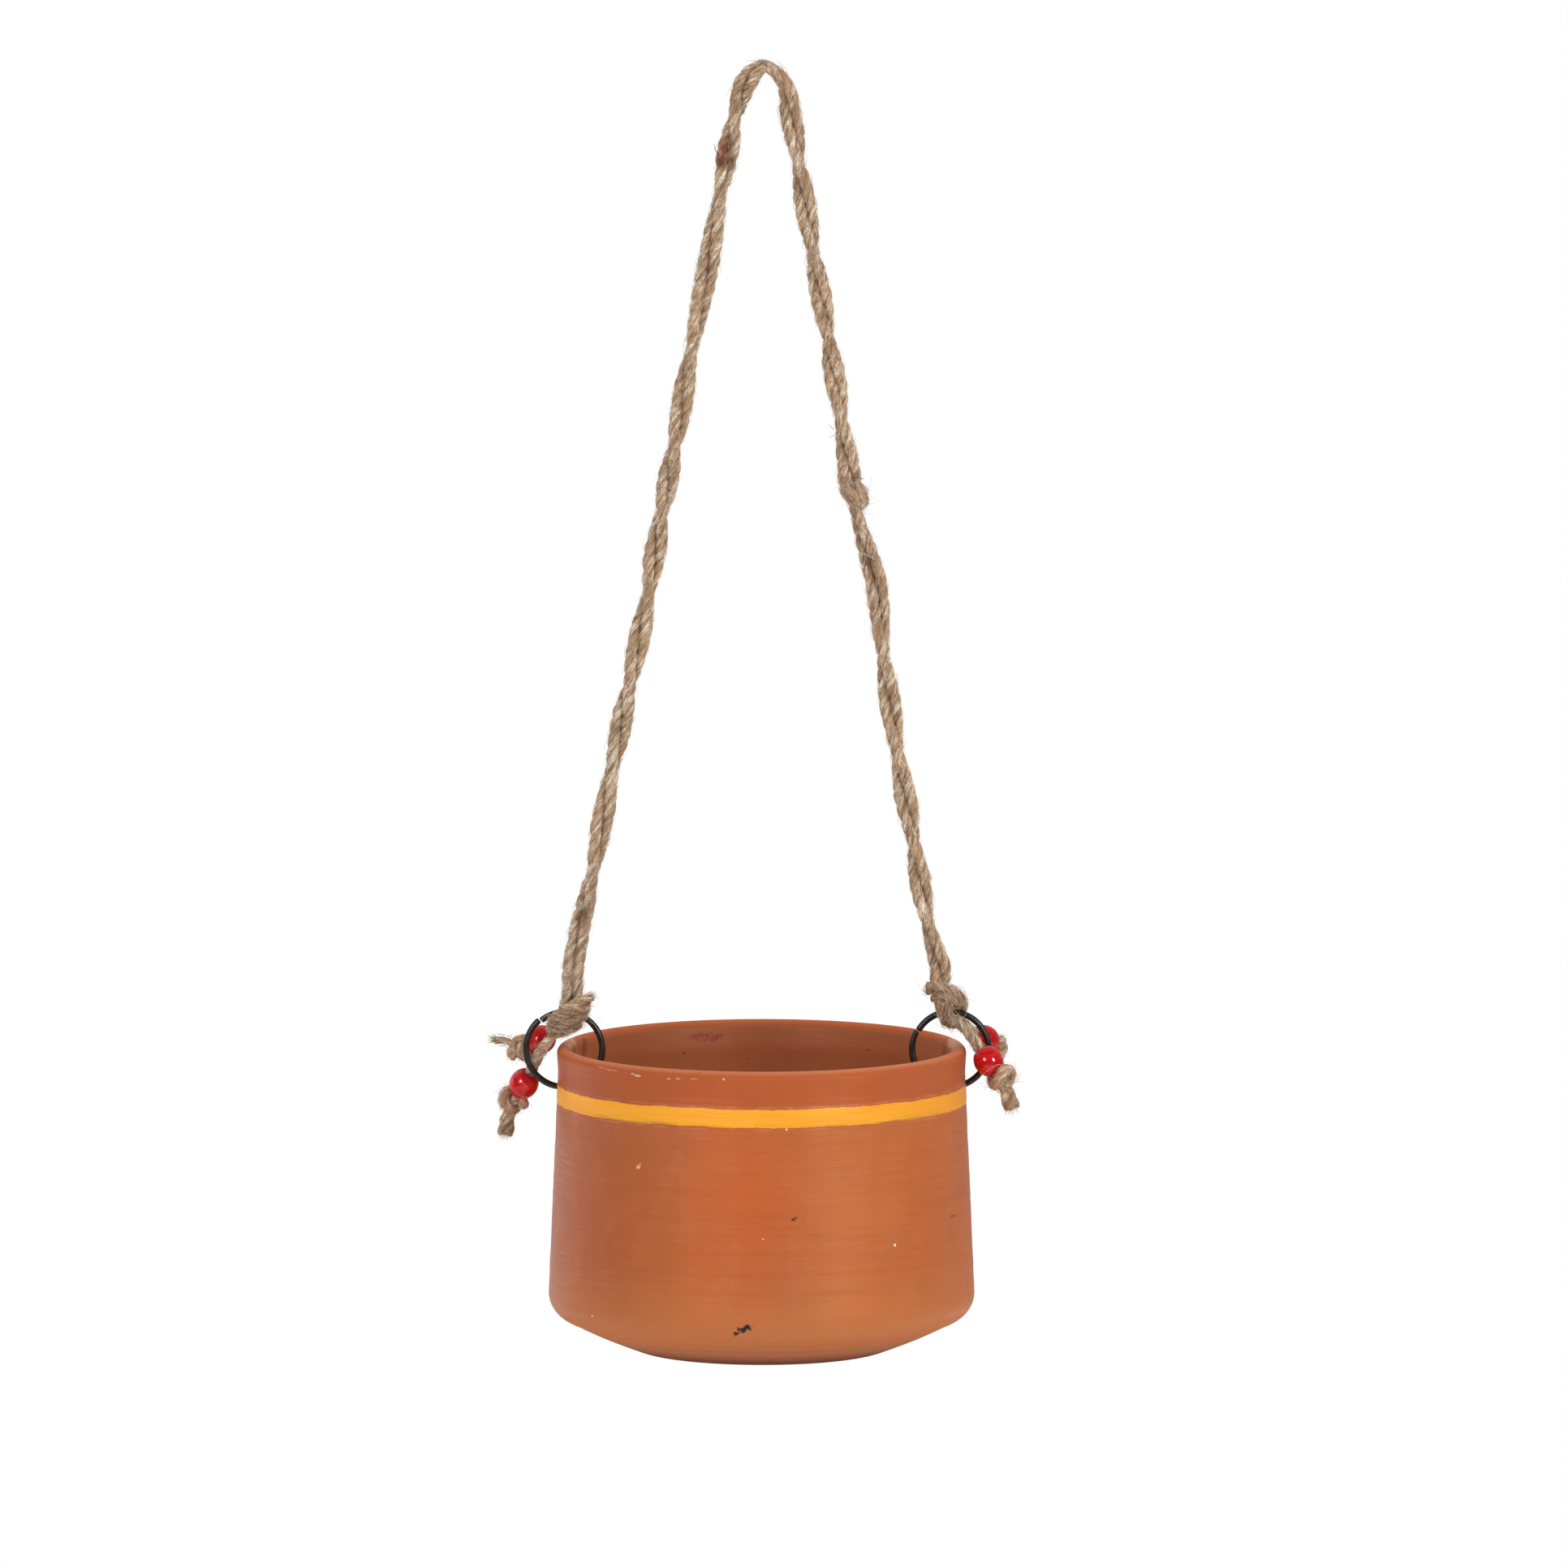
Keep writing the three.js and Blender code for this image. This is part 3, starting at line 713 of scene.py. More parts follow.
# Tails, from the hitch to the frayed tip: outward, back and up from the ring's centre. Each runs straight
# through its bead, whose middle is within 2 mm of the CAD bead's. end_radius is the radius of the untwisted
# tip, and the stopper knot is turned about its tail by knot_turn degrees and drawn flat by knot_squash.
TAILS = {
    "front_left": {
        "from": [(-1.5, -4.6, 11.6), (2.4, -4.6, 8.4), (5.8, -3.2, 5.0), (8.8, -0.6, 0.8)],
        "bead": (16.8, 8, -15.4), "way": (14.6, 10.2, -27.4),
        "tip": [(21.6, 11.4, -26.0), (23.6, 11.6, -31.5), (24.2, 11.4, -36.4)], "end_radius": 3.7,
        "knot_turn": 180, "knot_squash": 1.0, "lightness": 1.16,
    },
    "back_left": {
        "from": [(-1.6, 3.0, 12.4), (0.4, 6.0, 10.6)],
        "bead": (10.0, 13.8, 2.0), "way": (0.82, 0.33, -0.47),
        "tip": [(18.8, 16.4, -0.6), (24.2, 17.0, 1.0), (28.6, 17.4, 1.6)], "end_radius": 1.7,
        # Painted light: this tail and its knot are drawn lighter to make up for the shade of the ring on
        # them.
        "knot_turn": 0, "knot_squash": 1.0, "lightness": 1.42,
    },
    "front_right": {
        "from": [(0.0, -0.6, 13.2), (3.4, -3.6, 11.6), (5.6, -5.6, 9.8)],
        "bead": (15.6, -9, -3.8), "way": (0.574, -0.178, -0.799),
        "tip": [(22.2, -11.2, -13.5), (24.0, -11.4, -18.5), (24.8, -11.4, -22.6)], "end_radius": 3.6,
        "knot_turn": 0, "knot_squash": 1.0, "lightness": 1.24,
        "stray": [
            (11.8, -9.6, -11.2), (12.3, -11.0, -10.0), (14.7, -14.6, -7.3), (17.7, -15.4, -5.1),
            (20.4, -14.0, -4.4), (22.6, -12.2, -6.6)],
    },
    "back_right": {
        "from": [(0.6, 2.6, 12.8), (3.8, 4.6, 11.4)],
        "bead": (14.0, 14, 2.0), "way": (0.66, 0.55, -0.51),
        "tip": [(18.8, 19.4, -4.2), (18.8, 20.6, -7.6), (18.4, 21.2, -10.0)], "end_radius": 2.2,
        "knot_turn": 180, "knot_squash": 0.5, "lightness": 1.05,
    },
}
TAIL_RADIUS = 2.35
BEAD_RADIUS = 6.0
BEAD_LENGTH = 11.4
BEAD_BORE = 2.5                  # radius of the hole for the cord
BEAD_SIDES = 48


def side_word(name):
    return name.split("_")[1]


def bead_place(name):
    """The middle of a bead and the direction of its bore, away from the hitch."""
    word = side_word(name)
    tail = TAILS[name]
    place = from_ring(word, *tail["bead"])
    way = np.array([OUTWARD[word] * tail["way"][0], tail["way"][1], tail["way"][2]])
    return place, way / np.linalg.norm(way)


def tail_line(name):
    """The way of a tail from inside its hitch, through its bead and its knot, to the tip."""
    word = side_word(name)
    place, way = bead_place(name)
    points = [from_ring(word, *p) for p in TAILS[name]["from"]]
    # Straight through the bore of the bead.
    points += [place - 7.5 * way, place - 3 * way, place + 3 * way, place + 6.5 * way]
    points += [from_ring(word, *p) for p in TAILS[name]["tip"]]
    return smooth_route(points, 0.7)


def make_tail(name, jute_finish, fibre_finish):
    """A cord that runs through its bead, the stopper knot past it, and the end past that, untwisted."""
    word = side_word(name)
    tail = TAILS[name]
    rng = np.random.default_rng(sum(map(ord, name)))
    line = tail_line(name)
    parts = Parts()
    left_over = distances(line)[-1] - distances(line)
    widening = np.interp(left_over, [0, 6, 11], [tail["end_radius"], 0.86 * tail["end_radius"], TAIL_RADIUS])
    lightness = np.interp(left_over, [0, 8, 14], [0.84 * tail["lightness"], 0.9 * tail["lightness"], 1.0])
    add_cord(
        parts, line, rng, radius=widening, start_angle=rng.uniform(0, 6), fray=0.3, lightness=lightness,
        loose=1.7, soot=[(line[-1], 7, 0.3)])
    cord = parts.build(f"tail_{name}_cord", jute_finish)
    fuzz = Parts()
    add_fuzz(fuzz, line, rng, 6.0, radius=TAIL_RADIUS, longest=5, matted=0.7)
    add_brush_end(fuzz, line, rng, 90, radius=tail["end_radius"])
    if "stray" in tail:
        stray = smooth_route([from_ring(word, *p) for p in tail["stray"]], 0.8)
        add_hair(fuzz, stray, STRAY_THICKNESS, STRAY_TONE)
    knot = make_stopper(name, rng, fuzz, jute_finish)
    hairs = fuzz.build(f"tail_{name}_fuzz", fibre_finish)
    for item in (cord, hairs, knot):
        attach(item, f"hitch_{word}")
    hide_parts(f"tail_{name}")
    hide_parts(f"stopper_{name}")


# An overhand knot pulled tight: sideways, towards the viewer and along the tail from the bead's end.
OVERHAND = [
    (0.6, -0.6, -1.2), (2.6, -1.4, 1.0), (3.4, 1.0, 3.6), (0.6, 3.0, 3.4), (-3.2, 2.6, 1.4),
    (-4.6, -0.6, 2.6), (-3.0, -2.8, 5.0), (0.4, -2.2, 5.6), (1.4, 1.6, 6.4), (-0.6, 1.4, 8.6),
]


def make_stopper(name, rng, fuzz, jute_finish):
    """The knot that keeps a bead from sliding off its tail."""
    tail = TAILS[name]
    place, way = bead_place(name)
    start = place + way * BEAD_LENGTH / 2
    front = np.array([0.0, -1.0, 0.0])
    front = front - way * (front @ way)
    front /= np.linalg.norm(front)
    sideways = np.cross(way, front)
    turned = math.radians(tail["knot_turn"])
    points = [
        start + sideways * (a * math.cos(turned) - b * math.sin(turned))
        + front * (a * math.sin(turned) + b * math.cos(turned)) + way * c * tail["knot_squash"]
        for a, b, c in OVERHAND
    ]
    line = smooth_route(points, 0.6)
    parts = Parts()
    add_cord(
        parts, line, rng, radius=2.5, start_angle=rng.uniform(0, 6), lightness=tail["lightness"], loose=2.2,
        rust=[(start, 40, KNOT_BROWNING)], soot=[(start + 3 * way, 3.5, 0.35)])
    add_fuzz(fuzz, line, rng, 16, radius=2.4, longest=5, stand=0.7, matted=1.2)
    return parts.build(f"stopper_{name}_knot", jute_finish)


def bead_profile():
    """Radius and height round a bead's cross-section, from inside the bore's lower end and back to it."""
    lip = 0.35
    half = BEAD_LENGTH / 2
    stretch = half / math.sqrt(1 - ((BEAD_BORE + 2 * lip) / BEAD_RADIUS) ** 2)
    height = half * np.sin(np.radians(np.linspace(-90, 90, 27)))
    radius = BEAD_RADIUS * np.sqrt(1 - (height / stretch) ** 2)
    return (
        np.concatenate([[BEAD_BORE, BEAD_BORE + lip], radius[1:-1], [BEAD_BORE + lip, BEAD_BORE]]),
        np.concatenate([[-half + lip, -half], height[1:-1], [half, half - lip]]),
    )


def make_bead(name, finish):
    """A round bead with its bore and slightly flattened ends, its glass wound round the bore."""
    place, way = bead_place(name)
    rng = np.random.default_rng(sum(map(ord, name)) + 7)
    angle = 2 * np.pi * np.arange(BEAD_SIDES) / BEAD_SIDES
    circle = np.stack([np.cos(angle), np.sin(angle)], axis=1)
    radius, height = bead_profile()
    local = np.concatenate([
        np.column_stack([circle * r, np.full(BEAD_SIDES, z)]) for r, z in zip(radius, height)])
    upright = Vector((0, 0, 1)).rotation_difference(Vector(way)).to_matrix()
    parts = Parts()
    slant = np.column_stack([local[:, 0], local[:, 1], local[:, 2] + 0.5 * local[:, 0]])
    parts.add(
        local @ np.array(upright).T + place, side_faces(len(radius), BEAD_SIDES, closed=True),
        winding=slant + rng.uniform(-30, 30, 3))
    bead = parts.build(f"bead_{name}_glass", finish)
    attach(bead, f"bead_{name}")
    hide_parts(f"bead_{name}")


# The join in the handle: the way and the radius of three turns round the pair, drawn flat, and of the cut
# end of a ply below them. Then the way of the dark stitch across the top turn.
JOIN_TURNS = [
    ([(35.0, 2.4, -165.0), (33.2, -0.6, -167.4), (34.8, -3.6, -170.2), (38.4, -4.4, -173.2),
      (41.2, -3.0, -175.8), (41.6, 0.8, -177.6), (39.6, 3.2, -176.6)], 2.4),
    ([(34.6, 2.0, -169.8), (34.4, -1.6, -172.6), (36.4, -4.2, -175.2), (39.2, -4.0, -177.2),
      (40.8, -1.2, -178.6), (39.8, 2.4, -178.4)], 2.3),
    ([(38.0, -3.2, -169.6), (40.0, -4.2, -171.2), (41.4, -3.6, -173.2), (41.4, -2.0, -175.6)], 2.1),
    ([(42.4, -2.2, -204.4), (43.2, -3.8, -206.4), (43.8, -3.9, -208.8)], 1.2),
]
JOIN_STITCH = [(37.4, -3.6, -167.2), (39.2, -4.6, -167.0), (41.0, -3.4, -167.4), (41.6, -0.8, -168.0)]


def make_join_knot(jute_finish, fibre_finish):
    """Where one of the handle's cords was joined: a knot drawn tight round the pair, its end cut short."""
    rng = np.random.default_rng(77)
    parts = Parts()
    fuzz = Parts()
    for route, radius in JOIN_TURNS:
        line = smooth_route(route, 0.6)
        add_cord(
            parts, line, rng, radius=radius, start_angle=1.0, loose=1.8, rust=[(line[0], 40, KNOT_BROWNING)],
            soot=[((43.4, -1.5, -174.6), 2.4, 0.6)])
        add_fuzz(fuzz, line, rng, 14, radius=radius, longest=6, stand=0.7, matted=1.1)
    for _ in range(5):
        shift = rng.normal(0, 0.12, 3)
        add_hair(fuzz, smooth_route(JOIN_STITCH, 0.8) + shift, thick=0.14, tone=0.02)
    knot = parts.build("join_knot_turns", jute_finish)
    hairs = fuzz.build("join_knot_fuzz", fibre_finish)
    for item in (knot, hairs):
        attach(item, "handle")
    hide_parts("join_knot")


# ---- Rings ------------------------------------------------------------------------------------------------

RING_GAP = 0.5                   # between the cut ends of a ring's wire,
RING_STEP = 0.5                  # which also miss each other by this much, both across and out


def make_ring(word, gap_degrees, finish):
    """A ring bent from wire, not quite round or flat, with its gap at the given angle."""
    rng = np.random.default_rng({"left": 5, "right": 6}[word])
    opening = RING_GAP / RING_RADIUS
    share = np.linspace(0, 1, 200)
    angle = math.radians(gap_degrees) + opening / 2 + (2 * np.pi - opening) * share
    along = RING_RADIUS * (angle - angle[0])
    centre = RINGS[word]
    reach = RING_RADIUS + RING_STEP * (0.5 - share) + 0.12 * wander(along, 14, rng)
    line = np.column_stack([
        centre[0] + reach * np.cos(angle), RING_STEP * (share - 0.5) + 0.1 * wander(along, 20, rng),
        centre[2] + reach * np.sin(angle)])
    thick = WIRE_RADIUS * (1 + 0.03 * wander(along, 5, rng))
    thick[[0, -1]] *= 0.8
    points, faces = tube(line, thick, 20)
    parts = Parts()
    parts.add(points, faces)
    ring = parts.build(f"ring_{word}_wire", finish)
    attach(ring, f"hitch_{word}")
    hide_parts(f"ring_{word}")


# ---- Pot --------------------------------------------------------------------------------------------------

WALL = 6.0                       # thickness of the wall
RIM_RADIUS = 84.0
NECK_RADIUS = 83.6               # where the rim meets the wall
NECK_DEPTH = 11.0                # depths and the band are measured down from the rim
BODY_RADIUS = 87.4               # the widest place, at the shoulder
SHOULDER_DEPTH = 102.0
SHOULDER_ROUND = 12.0
SHOULDER_TURN = 72.0             # degrees by which the shoulder turns in, to the cone
CONE_BOW = 0.45                  # how far the cone between shoulder and foot swells
CONE_SLOPE = 0.405               # how much lower the cone lies for each millimetre nearer the axis
FOOT_RADIUS = 48.0
FOOT_INSET = 1.6                 # the flat foot is this much smaller, because its edge is rounded
FOOT_ROUND = 18.0
FOOT_TURN = 66.0                 # the slope, in degrees, at which the foot's round edge starts
POT_HEIGHT = RIM_Z - FOOT_Z
FLOOR_THICKNESS = 6.5
DRAIN_RADIUS = 5.0
DRAIN_EDGE = 0.8
BAND_TOP = 15.4
BAND_HEIGHT = 7.4
GUIDE_LINES = (BAND_TOP - 0.9, BAND_TOP + BAND_HEIGHT + 0.9)
WIRE_DEPTH = 17.2                # where the wire goes through the wall
HOLE_RADIUS = 2.4
HOLE_ROOM = 0.3                  # between the wire and the top of its hole
POT_SIDES = 240


def arc_points(r, z, radius, start, end, steps):
    """Points on an arc about a place, between two angles in degrees."""
    angle = np.radians(np.linspace(start, end, steps + 1))
    return [(r + radius * math.cos(a), z + radius * math.sin(a)) for a in angle]


def straight(start, end, steps):
    """The points between two ends, without the ends."""
    return [tuple(np.array(start) + (np.array(end) - np.array(start)) * i / steps) for i in range(1, steps)]


def bowed(start, end, steps, bow):
    """A line between two points that swells outward by bow in its middle."""
    start = np.array(start)
    run = np.array(end) - start
    outward = np.array([-run[1], run[0]]) / np.linalg.norm(run)
    return [tuple(start + run * t + outward * bow * 4 * t * (1 - t)) for t in np.arange(1, steps) / steps]


def pot_profile():
    """Radius and height round the pot's cross-section: from the drain hole over the floor, up the inside,
    over the lip, down the outside and under the foot, back to the drain hole."""
    lip = WALL / 2
    under = BODY_RADIUS - SHOULDER_ROUND
    inner_foot = FOOT_RADIUS - WALL * math.tan(math.radians(SHOULDER_TURN) / 4)
    floor = FLOOR_THICKNESS - POT_HEIGHT
    drain = DRAIN_RADIUS + DRAIN_EDGE
    inner_turn = arc_points(under, -SHOULDER_DEPTH, SHOULDER_ROUND - WALL, -SHOULDER_TURN, 0, 8)
    outer_turn = arc_points(under, -SHOULDER_DEPTH, SHOULDER_ROUND, 0, -SHOULDER_TURN, 12)
    foot_turn = arc_points(FOOT_RADIUS - FOOT_INSET, FOOT_ROUND - POT_HEIGHT, FOOT_ROUND, -FOOT_TURN, -90, 6)
    neck_in = (NECK_RADIUS - WALL, -NECK_DEPTH)
    neck_out = (NECK_RADIUS, -NECK_DEPTH)
    rim_over = arc_points(RIM_RADIUS - lip, -lip, lip, 180, 0, 12)
    run = [(DRAIN_RADIUS, floor + DRAIN_EDGE), (drain, floor)]
    run += straight(run[-1], (inner_foot, floor), 14) + [(inner_foot, floor)]
    run += straight(run[-1], inner_turn[0], 12) + inner_turn
    run += straight(run[-1], neck_in, 36) + [neck_in]
    run += straight(neck_in, rim_over[0], 5) + rim_over
    run += straight(rim_over[-1], neck_out, 6) + [neck_out]
    run += straight(neck_out, outer_turn[0], 90) + outer_turn
    run += bowed(outer_turn[-1], foot_turn[0], 16, CONE_BOW) + foot_turn
    run += straight(run[-1], (drain, -POT_HEIGHT), 14)
    run += [(drain, -POT_HEIGHT), (DRAIN_RADIUS, -POT_HEIGHT + DRAIN_EDGE)]
    return np.array(run)


def pot_surface():
    """The pot's points and faces. Throwing leaves faint rings in the wall, two fine lines are cut to guide
    the band, and the drying pot goes a hair out of round."""
    rng = np.random.default_rng(9)
    profile = pot_profile()
    angle = 2 * np.pi * np.arange(POT_SIDES) / POT_SIDES
    depth = -profile[:, 1]
    rings = 0.07 * wander(depth, 3.2, rng) + 0.1 * wander(depth, 9, rng)
    rings *= np.clip((depth - 4) / 6, 0, 1)
    groove = np.zeros(len(profile))
    outside = np.arange(len(profile)) > int(np.argmax(profile[:, 1]))
    for edge in GUIDE_LINES:
        groove -= 0.3 * np.exp(-((depth - edge) / 0.55) ** 2) * outside
    wobble = 0.12 * np.cos(2 * angle + 0.7) + 0.08 * np.cos(3 * angle + 2.1)
    wobbling = profile[:, 0] > 20
    radius = profile[:, 0][:, None] + rings[:, None] + groove[:, None] + wobble[None, :] * wobbling[:, None]
    points = np.stack([
        radius * np.cos(angle), radius * np.sin(angle),
        np.repeat((RIM_Z + profile[:, 1])[:, None], POT_SIDES, axis=1)], axis=2).reshape(-1, 3)
    faces = [(b, a, d, c) for a, b, c, d in side_faces(len(profile), POT_SIDES, closed=True)]
    return points, faces


def make_pot(finish):
    """The thrown pot, with its drain hole and the two holes for the rings."""
    parts = Parts()
    parts.add(*pot_surface())
    pot = parts.build("pot_terracotta", finish)
    drill_ring_holes(pot)
    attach(pot, "pot")
    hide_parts("pot")


def drill_ring_holes(pot):
    """A round hole through the wall on each side, where the ring passes."""
    made = bmesh.new()
    made.from_mesh(pot.data)
    bmesh.ops.recalc_face_normals(made, faces=made.faces)
    made.to_mesh(pot.data)
    made.free()
    for word in ("left", "right"):
        # The ring is round, so its wire rises a little between the middle of the wall and its two faces.
        reach = max(RIM_RADIUS - abs(RINGS[word][0]), abs(RINGS[word][0]) - RIM_RADIUS + WALL)
        rise = RING_RADIUS - math.sqrt(RING_RADIUS ** 2 - reach ** 2)
        drop = HOLE_RADIUS - WIRE_RADIUS - rise - HOLE_ROOM
        place = (OUTWARD[word] * RIM_RADIUS * MM, 0, (RIM_Z - WIRE_DEPTH - drop) * MM)
        bpy.ops.mesh.primitive_cylinder_add(
            vertices=32, radius=HOLE_RADIUS * MM, depth=4 * WALL * MM, location=place,
            rotation=(0, math.pi / 2, 0))
        drill = bpy.context.object
        cut = pot.modifiers.new("hole", "BOOLEAN")
        cut.operation = "DIFFERENCE"
        cut.solver = "EXACT"
        cut.object = drill
        bpy.context.view_layer.objects.active = pot
        bpy.ops.object.modifier_apply(modifier=cut.name)
        bpy.data.objects.remove(drill)


# Marks of use: middle and size across, back and up from the middle of the rim, colour and strength. Those
# above LIP_MARK_DEPTH lie on the lip. The others are on the outside of the wall in front of the middle of
# the pot, and on the inside behind it.
LIP_MARK_DEPTH = -1.5
MARKS = [
    ((-10.5, -60, -107.9), (1.5, 40, 1.2), "#171210", 1.0),
    ((-8.5, -60, -106.3), (2.0, 40, 1.6), "#171210", 1.0),
    ((-5.9, -60, -104.9), (2.1, 40, 1.6), "#171210", 1.0),
    ((80.0, 12, -1.0), (4.0, 18, 2.6), "#efb998", 0.5),
    ((-80.5, 14, -1.0), (4.0, 18, 2.6), "#e1b290", 0.4),
    ((12.8, -85, -60.6), (0.9, 20, 0.8), "#4a2b1c", 0.9),
    ((14.0, -85, -59.8), (0.5, 20, 0.5), "#4a2b1c", 0.8),
    ((54.6, -65, -73.6), (0.45, 20, 0.6), "#f3f3f3", 1.0),
    ((-50.5, -70, -41.2), (0.7, 20, 0.8), "#f3c08c", 0.9),
    ((-49.9, -70, -39.9), (0.35, 20, 0.35), "#f3c08c", 0.9),
    ((10.2, -85, -23.6), (0.5, 20, 0.4), "#f6e2c6", 0.9),
    ((-69.5, -50, -105.0), (0.4, 20, 0.4), "#f2d6b8", 0.7),
    ((-15.4, -83, -2.9), (0.5, 20, 0.5), "#f0c8a4", 0.7),
    ((0.6, -85, -68.5), (0.35, 20, 0.35), "#f3f3e7", 0.6),
    ((78.5, -33, -66.0), (1.0, 20, 0.5), "#7b3c27", 0.7),
    ((-50.6, -66, -3.6), (1.6, 20, 0.4), "#f3e6dc", 0.5),
    ((-52.8, -65, -3.0), (0.8, 20, 0.4), "#f0d8c8", 0.45),
    ((-38.0, -75, -3.9), (0.8, 20, 0.35), "#f3d8c3", 0.4),
    ((-34.4, -76, -3.5), (1.0, 20, 0.3), "#f3d8c3", 0.5),
    ((-28.0, -79, -3.2), (1.6, 20, 0.25), "#f0c2a8", 0.4),
    ((-61.5, -57, -2.6), (2.4, 20, 0.35), "#d6a287", 0.45),
    ((-65.5, -52, -2.2), (1.6, 20, 0.35), "#d6a287", 0.45),
    ((-73.2, 27, -4.5), (1.0, 9, 4.6), "#824325", 0.75),
    ((75.2, 20, -4.5), (1.0, 9, 3.2), "#905130", 0.6),
    ((44.0, 64, -10.5), (0.5, 20, 0.5), "#572b17", 0.8),
    ((-32.0, 70, -13.0), (0.5, 20, 0.5), "#572b17", 0.8),
    ((-6.0, 76, -16.0), (0.4, 20, 0.4), "#572b17", 0.7),
]


# Down the cone under the shoulder to the foot: painted shade, darkening to a very dark brown that also
# covers the foot's rounded edge and underside.
CONE_PAINTED_SHADE_COLOURS = [
    (0.02, "#c97238"), (0.28, "#c16b35"), (0.42, "#be6a35"), (0.52, "#ad6234"), (0.64, "#a5623c"),
    (0.75, "#975025"), (0.82, "#8a420e"), (0.88, "#722a00"), (0.94, "#4c1000"), (1.0, "#380600"),
]
INNER_REACH = 80.6               # above the cone, what is nearer the axis than this counts as inside,
OUTER_REACH = 81.4               # and what is farther from it than this as outside
CONE_LINE = -142.3               # the height at which a line within the cone's wall would meet the axis
FLOOR_LINE = -123.0              # a height within the thickness of the floor


class Clay:
    """What the pot's colours are drawn from: places in millimetres from the middle of the rim, the patterns
    left by the wheel, the slip and the brush, and the two sides of the wall."""

    def __init__(self, tree):
        metres = add_node(tree, "ShaderNodeTexCoord").outputs["Object"]
        rim = (0, 0, RIM_Z * MM)
        moved = add_node(tree, "ShaderNodeVectorMath", {0: metres, 1: rim}, operation="SUBTRACT")
        self.place = add_node(tree, "ShaderNodeVectorMath", {0: moved, "Scale": 1 / MM}, operation="SCALE")
        apart = add_node(tree, "ShaderNodeSeparateXYZ", {0: self.place})
        self.across = apart.outputs["X"]
        self.back = apart.outputs["Y"]
        self.height = apart.outputs["Z"]
        level = add_node(tree, "ShaderNodeCombineXYZ", {"X": self.across, "Y": self.back})
        self.reach = add_node(tree, "ShaderNodeVectorMath", {0: level}, operation="LENGTH")
        # Wheel rings 2.5 mm apart, drag marks 1 mm by 17 mm, clouds 50 mm across and mottling 9 mm across.
        self.rings = stretched_noise(tree, self.place, (62.5, 62.5, 2.5))
        self.drags = stretched_noise(tree, self.place, (16.67, 16.67, 0.9524), 3.0, 0.6)
        self.clouds = stretched_noise(tree, self.place, (50, 50, 83.3), 2.0)
        self.mottle = stretched_noise(tree, self.place, (9.09, 9.09, 14.29))
        # The grit in the clay, drawn as coarse as shows, and the ragged edges of chips and splashes.
        self.grain = stretched_noise(tree, self.place, (0.625, 0.625, 0.625), 2.0)
        self.ragged = stretched_noise(tree, self.place, (2, 2, 2), 1.0)
        # How the brush wandered, slowly and finely, the same all the way down, and the marks of its bristles.
        self.slow = stretched_noise(tree, self.place, (20, 20, math.inf), 2.0)
        self.fine = stretched_noise(tree, self.place, (2.857, 2.857, math.inf), 2.0)
        self.bristles = stretched_noise(tree, self.place, (28.57, 28.57, 1), 3.0, 0.6)
        # The cone and the foot lie nearer the axis than the wall. Their height tells them from the inside.
        cone_rise = add_node(
            tree, "ShaderNodeMath", {0: self.reach, 1: -CONE_SLOPE, 2: self.height}, operation="MULTIPLY_ADD")
        self.inside = combined(
            tree, "MULTIPLY", (cone_rise, CONE_LINE - 1.0, CONE_LINE + 1.0),
            (self.height, FLOOR_LINE - 0.5, FLOOR_LINE + 0.5),
            (self.reach, INNER_REACH, OUTER_REACH, 1.0, 0.0))
        self.outside = combined(tree, "MULTIPLY", (self.reach, INNER_REACH, OUTER_REACH))


def spot(tree, place, ragged, middle, size, strength=1.0, soft=0.4):
    """The given strength inside an ellipsoid and 0 outside, with a ragged edge as wide as soft says."""
    offset = add_node(tree, "ShaderNodeVectorMath", {0: place, 1: middle}, operation="SUBTRACT")
    scaled = add_node(tree, "ShaderNodeVectorMath", {0: offset, 1: size}, operation="DIVIDE")
    far = add_node(tree, "ShaderNodeVectorMath", {0: scaled}, operation="LENGTH")
    rough = add_node(tree, "ShaderNodeMath", {0: ragged, 1: 1.6, 2: far}, operation="MULTIPLY_ADD")
    return combined(tree, "MULTIPLY", (rough, 1.95 - soft, 1.95, strength, 0.0))


def shifted(tree, value, noise, amount):
    """A value moved up or down by noise, whose middle is 0.5."""
    return combined(tree, "ADD", value, (noise, 0.0, 1.0, -amount, amount))


def between(tree, value, low, high, soft):
    """1 where a value lies between two others, with soft edges."""
    return combined(
        tree, "MULTIPLY", (value, low - soft, low + soft), (value, high - soft, high + soft, 1.0, 0.0))


